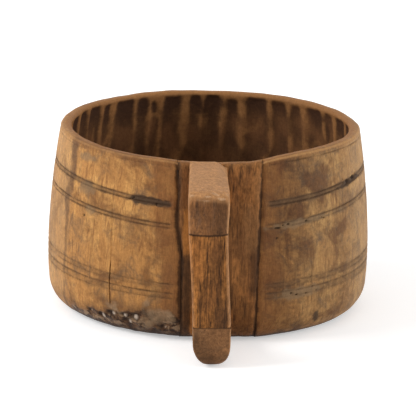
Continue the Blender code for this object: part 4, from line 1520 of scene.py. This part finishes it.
# paler where the surface faces up or sideways: wear and painted light together
lit_and_rubbed_top = ease(-0.05, 1.10, facing_z + unevenness)
lit_and_rubbed_sides = lit_and_rubbed_edges(upper_arm) * fade(0.5, 0.9, -facing_z)
upper_middle = UPPER_ARM_X + swing(y)
elbow_edge = ease(0.25, 0.6, facing_z) * ease(0.15, 0.55, -facing_y)
paint(
    upper_arm,
    pale=np.clip(lit_and_rubbed_top + 0.85 * lit_and_rubbed_sides, 0, 1),
    scuffs=elbow_edge * ease(0.0, 0.5, waves(places, (0.005, 0.003, 0.0015))),
    joint=fade(0.0, 0.0012, z - upper_low - joint_bow(x, z)),
    dark=ease(-0.004, 0.010, x - upper_middle) * ease(0.4, 0.9, -facing_y),
)
arm_finish = WoodFinish(
    "handle_elbow",
    ((158, 106, 63), (122, 80, 47), (66, 43, 28), (106, 78, 58)),
    (0.9, 1.1, 0.9, 0.4, 1.9),
    roughness=0.5,
    turn=CROOKED,
)
arm_finish.layers(
    ("dark", (84, 57, 36), 0.6, 0.5, 1.2, 0.5),
    # paler top and sides: wear and painted light
    ("pale", (178, 130, 86), 0.85, 0.55, 0.3, 0.5),
    ("scuffs", (204, 168, 134), 0.4, 0.5, 0.9, 0.5),
    ("joint", (50, 34, 23), 0.8, 0.7, 0.7),
)
stands_for(upper_arm, arm_finish.finish(0.3), "handle_upper_arm")

# %% [markdown]
# ## Grip
# The grip is an upright bar between the arms, flat in front and rounder towards the fingers, with a slight
# waist. Its grain runs up and down in strong streaks.

# %% Grip
GRIP_TOP_WIDTH, GRIP_FOOT_WIDTH = 0.0249, 0.0240
GRIP_WAIST = 0.025
GRIP_PASSES = 8
grip_low, grip_high = LOWER_JOINT + LINE_GAP, UPPER_JOINT - LINE_GAP
half, front, back = GRIP_TOP_WIDTH / 2, 0.0026, 0.006  # half the width, and the rounds of the edges
plan = arc((half - front, front - HANDLE_REACH), front, 270, 360, 4)
plan += arc((half - back, grip_back - back), back, 0, 90, 6)
plan += arc((back - half, grip_back - back), back, 90, 180, 6)
plan += arc((front - half, front - HANDLE_REACH), front, 180, 270, 4)
grip = solid_outline("handle_grip_bar", [(x, y, grip_low) for x, y in plan], (0.0, 0.0, grip_high - grip_low))
wear_round(grip, GRIP_PASSES, [grip_low, grip_high])

places = points_of(grip)
x, y, z = places.T
share = (z - LOWER_JOINT) / (UPPER_JOINT - LOWER_JOINT)
width = GRIP_FOOT_WIDTH + (GRIP_TOP_WIDTH - GRIP_FOOT_WIDTH) * share
x *= width / GRIP_TOP_WIDTH * (1 - GRIP_WAIST * np.sin(math.pi * share))
grip_middle = LOWER_ARM_X + (UPPER_ARM_X - LOWER_ARM_X) * share + swing(y)
x += grip_middle
z += joint_bow(x, z)
from_joint = np.minimum(z - grip_low, grip_high + joint_bow(x, z) - z)
dents = 0.0002 * waves(places, (0.012, 0.012, 0.03)) + 0.00015 * waves(places, (0.003, 0.003, 0.03))
dents *= ease(0.001, 0.003, from_joint)
move_points(grip, places + normals_of(grip) * dents[:, None])

paint(
    grip,
    # paler edges: wear and painted highlight
    pale=lit_and_rubbed_edges(grip),
    joint=fade(0.0, 0.0012, from_joint) * np.where(share < 0.5, 0.5, 1.0),
    warm=ease(-0.002, 0.009, grip_middle - x) * ease(0.046, 0.070, z),
    # darker on the right half, low down
    low_dirt=ease(-0.006, 0.006, x - grip_middle) * fade(0.030, 0.058, z),
)
grip_finish = WoodFinish(
    "handle_grip_bar",
    ((178, 116, 58), (124, 79, 42), (58, 36, 21), (94, 63, 39)),
    (1.3, 0.6, 0.3, 1.0, 2.8),
    roughness=0.5,
)
grip_finish.layers(
    ("warm", (174, 110, 54), 0.5, 0.5, 1.4, 0.5),
    ("low_dirt", (70, 46, 29), 0.7, 0.5, 1.2, 0.5),
    # paler edges: wear and painted highlight
    ("pale", (166, 118, 75), 0.72, 0.5, 0.9, 0.45),
    ("joint", (50, 34, 23), 0.8, 0.7, 0.7),
)
stands_for(grip, grip_finish.finish(0.4), "handle_grip")

# %% [markdown]
# ## Lower arm
# The lower arm goes back to the stave under the fingers. Seen from the front its end is a rounded tongue,
# so the side outline is cut with a second outline, an ellipse below and straight sides above it.

# %% Lower arm
LOWER_WIDTH = 0.0240
LOWER_CLEARANCE = 0.001
LOWER_RISE = 0.006
LOWER_END_ROUND = 0.0085
TONGUE_DEPTH = 0.0148  # height of the curved part
TONGUE_TOP = 0.04  # well above the joint
BLANK_WIDTH, BLANK_DEPTH = 0.06, 0.2  # wider and deeper than what is left after the cut
LOWER_PASSES = 24
LOWER_LEAN = 0.0006  # how far the tip leans to the right
LEAST_HEIGHT = 0.0004  # above the table
lower_high = LOWER_JOINT - LINE_GAP

outline = [(-HANDLE_REACH, lower_high)]
end_centre = (LOWER_END_ROUND - HANDLE_REACH, LOWER_CLEARANCE + LOWER_END_ROUND)
outline += arc(end_centre, LOWER_END_ROUND, 180, 270, 8)
outline += along_stave(LOWER_CLEARANCE + LOWER_RISE, lower_high - ARM_ARCH)
outline += [(y, 2 * lower_high - z) for y, z in reversed(arch(lower_high))][1:]
blank = [(-BLANK_WIDTH / 2, y, z) for y, z in outline]
lower_arm = solid_outline("handle_foot", blank, (BLANK_WIDTH, 0.0, 0.0))
start = LOWER_CLEARANCE + TONGUE_DEPTH - 0.0006
tongue = [(LOWER_WIDTH / 2 * x, start + TONGUE_DEPTH * z) for x, z in arc((0.0, 0.0), 1.0, 180, 360, 28)]
tongue += [(LOWER_WIDTH / 2, TONGUE_TOP), (-LOWER_WIDTH / 2, TONGUE_TOP)]
tongue_cut = solid_outline("tongue_cut", [(x, -BLANK_DEPTH, z) for x, z in tongue], (0.0, BLANK_DEPTH, 0.0))
carve(lower_arm, tongue_cut, "INTERSECT")
join_to(lower_arm, tenon_box("lower_tenon", 0.0, LOWER_TENON, (TENON_START, lower_end), 0.0))
wear_round(lower_arm, LOWER_PASSES, [lower_high])

places = points_of(lower_arm)
x, y, z = places.T
in_stave = tenon_share(y, z)
middle = LOWER_ARM_X + swing(y)
x += middle + (LOWER_ROOT_X - middle) * in_stave
x += LOWER_LEAN * ease(0.0, 0.012, 0.016 - z) * (1 - in_stave)
dents = 0.0002 * waves(places, 0.011) * ease(0.001, 0.003, lower_high - z) * (1 - in_stave)
places += normals_of(lower_arm) * dents[:, None]
z[:] = np.maximum(z, LEAST_HEIGHT)
move_points(lower_arm, places)
paint(
    lower_arm,
    # paler edges: wear and painted highlight
    pale=lit_and_rubbed_edges(lower_arm) * ease(0.006, 0.014, z),
    joint=fade(0.0, 0.0011, lower_high - z),
)
lower_finish = WoodFinish(
    "handle_foot",
    ((158, 111, 71), (126, 87, 55), (82, 55, 35), (110, 81, 56)),
    (0.6, 0.9, 0.7, 0.3, 1.6),
    roughness=0.5,
    turn=LYING,
)
lower_finish.layers(
    # paler edges: wear and painted highlight
    ("pale", (166, 120, 78), 0.8, 0.5, 0.9, 0.45),
    ("joint", (62, 42, 28), 0.5, 0.7, 0.7),
)
stands_for(lower_arm, lower_finish.finish(0.3), "handle_lower_arm")

# %% [markdown]
# ## Bottom board
# The bottom is a board let in from above: a flange that lies on the ledge in the wall, and a plug below it
# that fills the hole in the foot. It starts as a cylinder for the flange. The lower face is inset and
# pulled down for the plug, the upper one is inset again and again so that it has points to carve.

# %% Bottom board
FLOOR_RINGS = 26
BOARD_SIDES = 160
BOARD_BORDER = 0.0012
BOARD_CENTRE = 0.006  # radius of the flat left in the middle
FLANGE_RADIUS = LEDGE_RADIUS - JOINT_GAP
PLUG_RADIUS = FLANGE_RADIUS - LEDGE_WIDTH
FLANGE_LOW = LEDGE_HEIGHT + JOINT_GAP

board = new_shape(
    "bottom_board",
    bpy.ops.mesh.primitive_cylinder_add,
    vertices=BOARD_SIDES,
    radius=FLANGE_RADIUS,
    depth=FLOOR_HEIGHT - FLANGE_LOW,
    location=(0.0, 0.0, (FLOOR_HEIGHT + FLANGE_LOW) / 2),
)
bpy.ops.object.transform_apply(location=True, rotation=True, scale=True)


def pick_face(thing, upwards):
    """Select only the large flat face that looks up or down."""
    for part in (*thing.data.edges, *thing.data.vertices):
        part.select = False
    for face in thing.data.polygons:
        face.select = len(face.vertices) == BOARD_SIDES and face.normal.z * upwards > 0.9


pick_face(board, -1)
bpy.ops.object.mode_set(mode="EDIT")
bpy.ops.mesh.select_mode(type="FACE")
bpy.ops.mesh.inset(thickness=LEDGE_WIDTH)
bpy.ops.mesh.extrude_region_move(TRANSFORM_OT_translate={"value": (0.0, 0.0, -FLANGE_LOW)})
bpy.ops.object.mode_set(mode="OBJECT")
pick_face(board, 1)
bpy.ops.object.mode_set(mode="EDIT")
bpy.ops.mesh.inset(thickness=BOARD_BORDER)
for _ in range(FLOOR_RINGS):
    bpy.ops.mesh.inset(thickness=(FLANGE_RADIUS - BOARD_CENTRE) / FLOOR_RINGS)
bpy.ops.object.mode_set(mode="OBJECT")

places = points_of(board)
x, y, z = places.T
carved = ease(0.0, 0.0005, z - FLOOR_HEIGHT + 0.0006) * (np.hypot(x, y) < FLANGE_RADIUS - 0.0006)
scallops = np.abs(waves(places, (0.016, 0.03, 0.05)))
z -= carved * (0.0009 * scallops + 0.0003 * np.abs(waves(places, 0.008)))
side_radius = np.where(z < FLANGE_LOW - 0.001, PLUG_RADIUS, FLANGE_RADIUS)
y[:] = np.maximum(y, STAVE_INSET - side_radius)
z[:] = np.maximum(z, 0.0)
move_points(board, places)
paint(board, hollow=carved * np.clip(2.2 * scallops, 0, 1))
shade_smooth(board, 35)
board_finish = WoodFinish(
    "bottom_board",
    ((120, 82, 48), (92, 61, 36), (58, 38, 24), (70, 52, 37)),
    (0.8, 0.8, 0.5, 0.5, 1.3),
    roughness=0.65,
    turn=LYING,
)
board_finish.layer("hollow", (52, 34, 23), 0.8, 0.7, 0.9)
stands_for(board, board_finish.finish(0.5), "base_board")

# %% [markdown]
# ## Pegs and wedges
# The dowels and wedges sit inside the joints, and their solids already have the right shape. They stay,
# and only get a pale, freshly cut wood.

# %% Pegs and wedges
peg_finish = WoodFinish(
    "peg_wood",
    ((190, 150, 100), (164, 122, 76), (120, 84, 52), (130, 100, 70)),
    (0.7, 0.3, 0.2, 0.4, 1.0),
    roughness=0.55,
)
peg_material = peg_finish.finish(0.4)
pegs = [node for name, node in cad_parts.items() if "dowel" in name or "wedge" in name]
for peg in pegs:
    give_material(peg, peg_material)
print("pegs and wedges:", len(pegs))

# %% [markdown]
# ## Sizes
# The finished model must keep the size of the solid model.
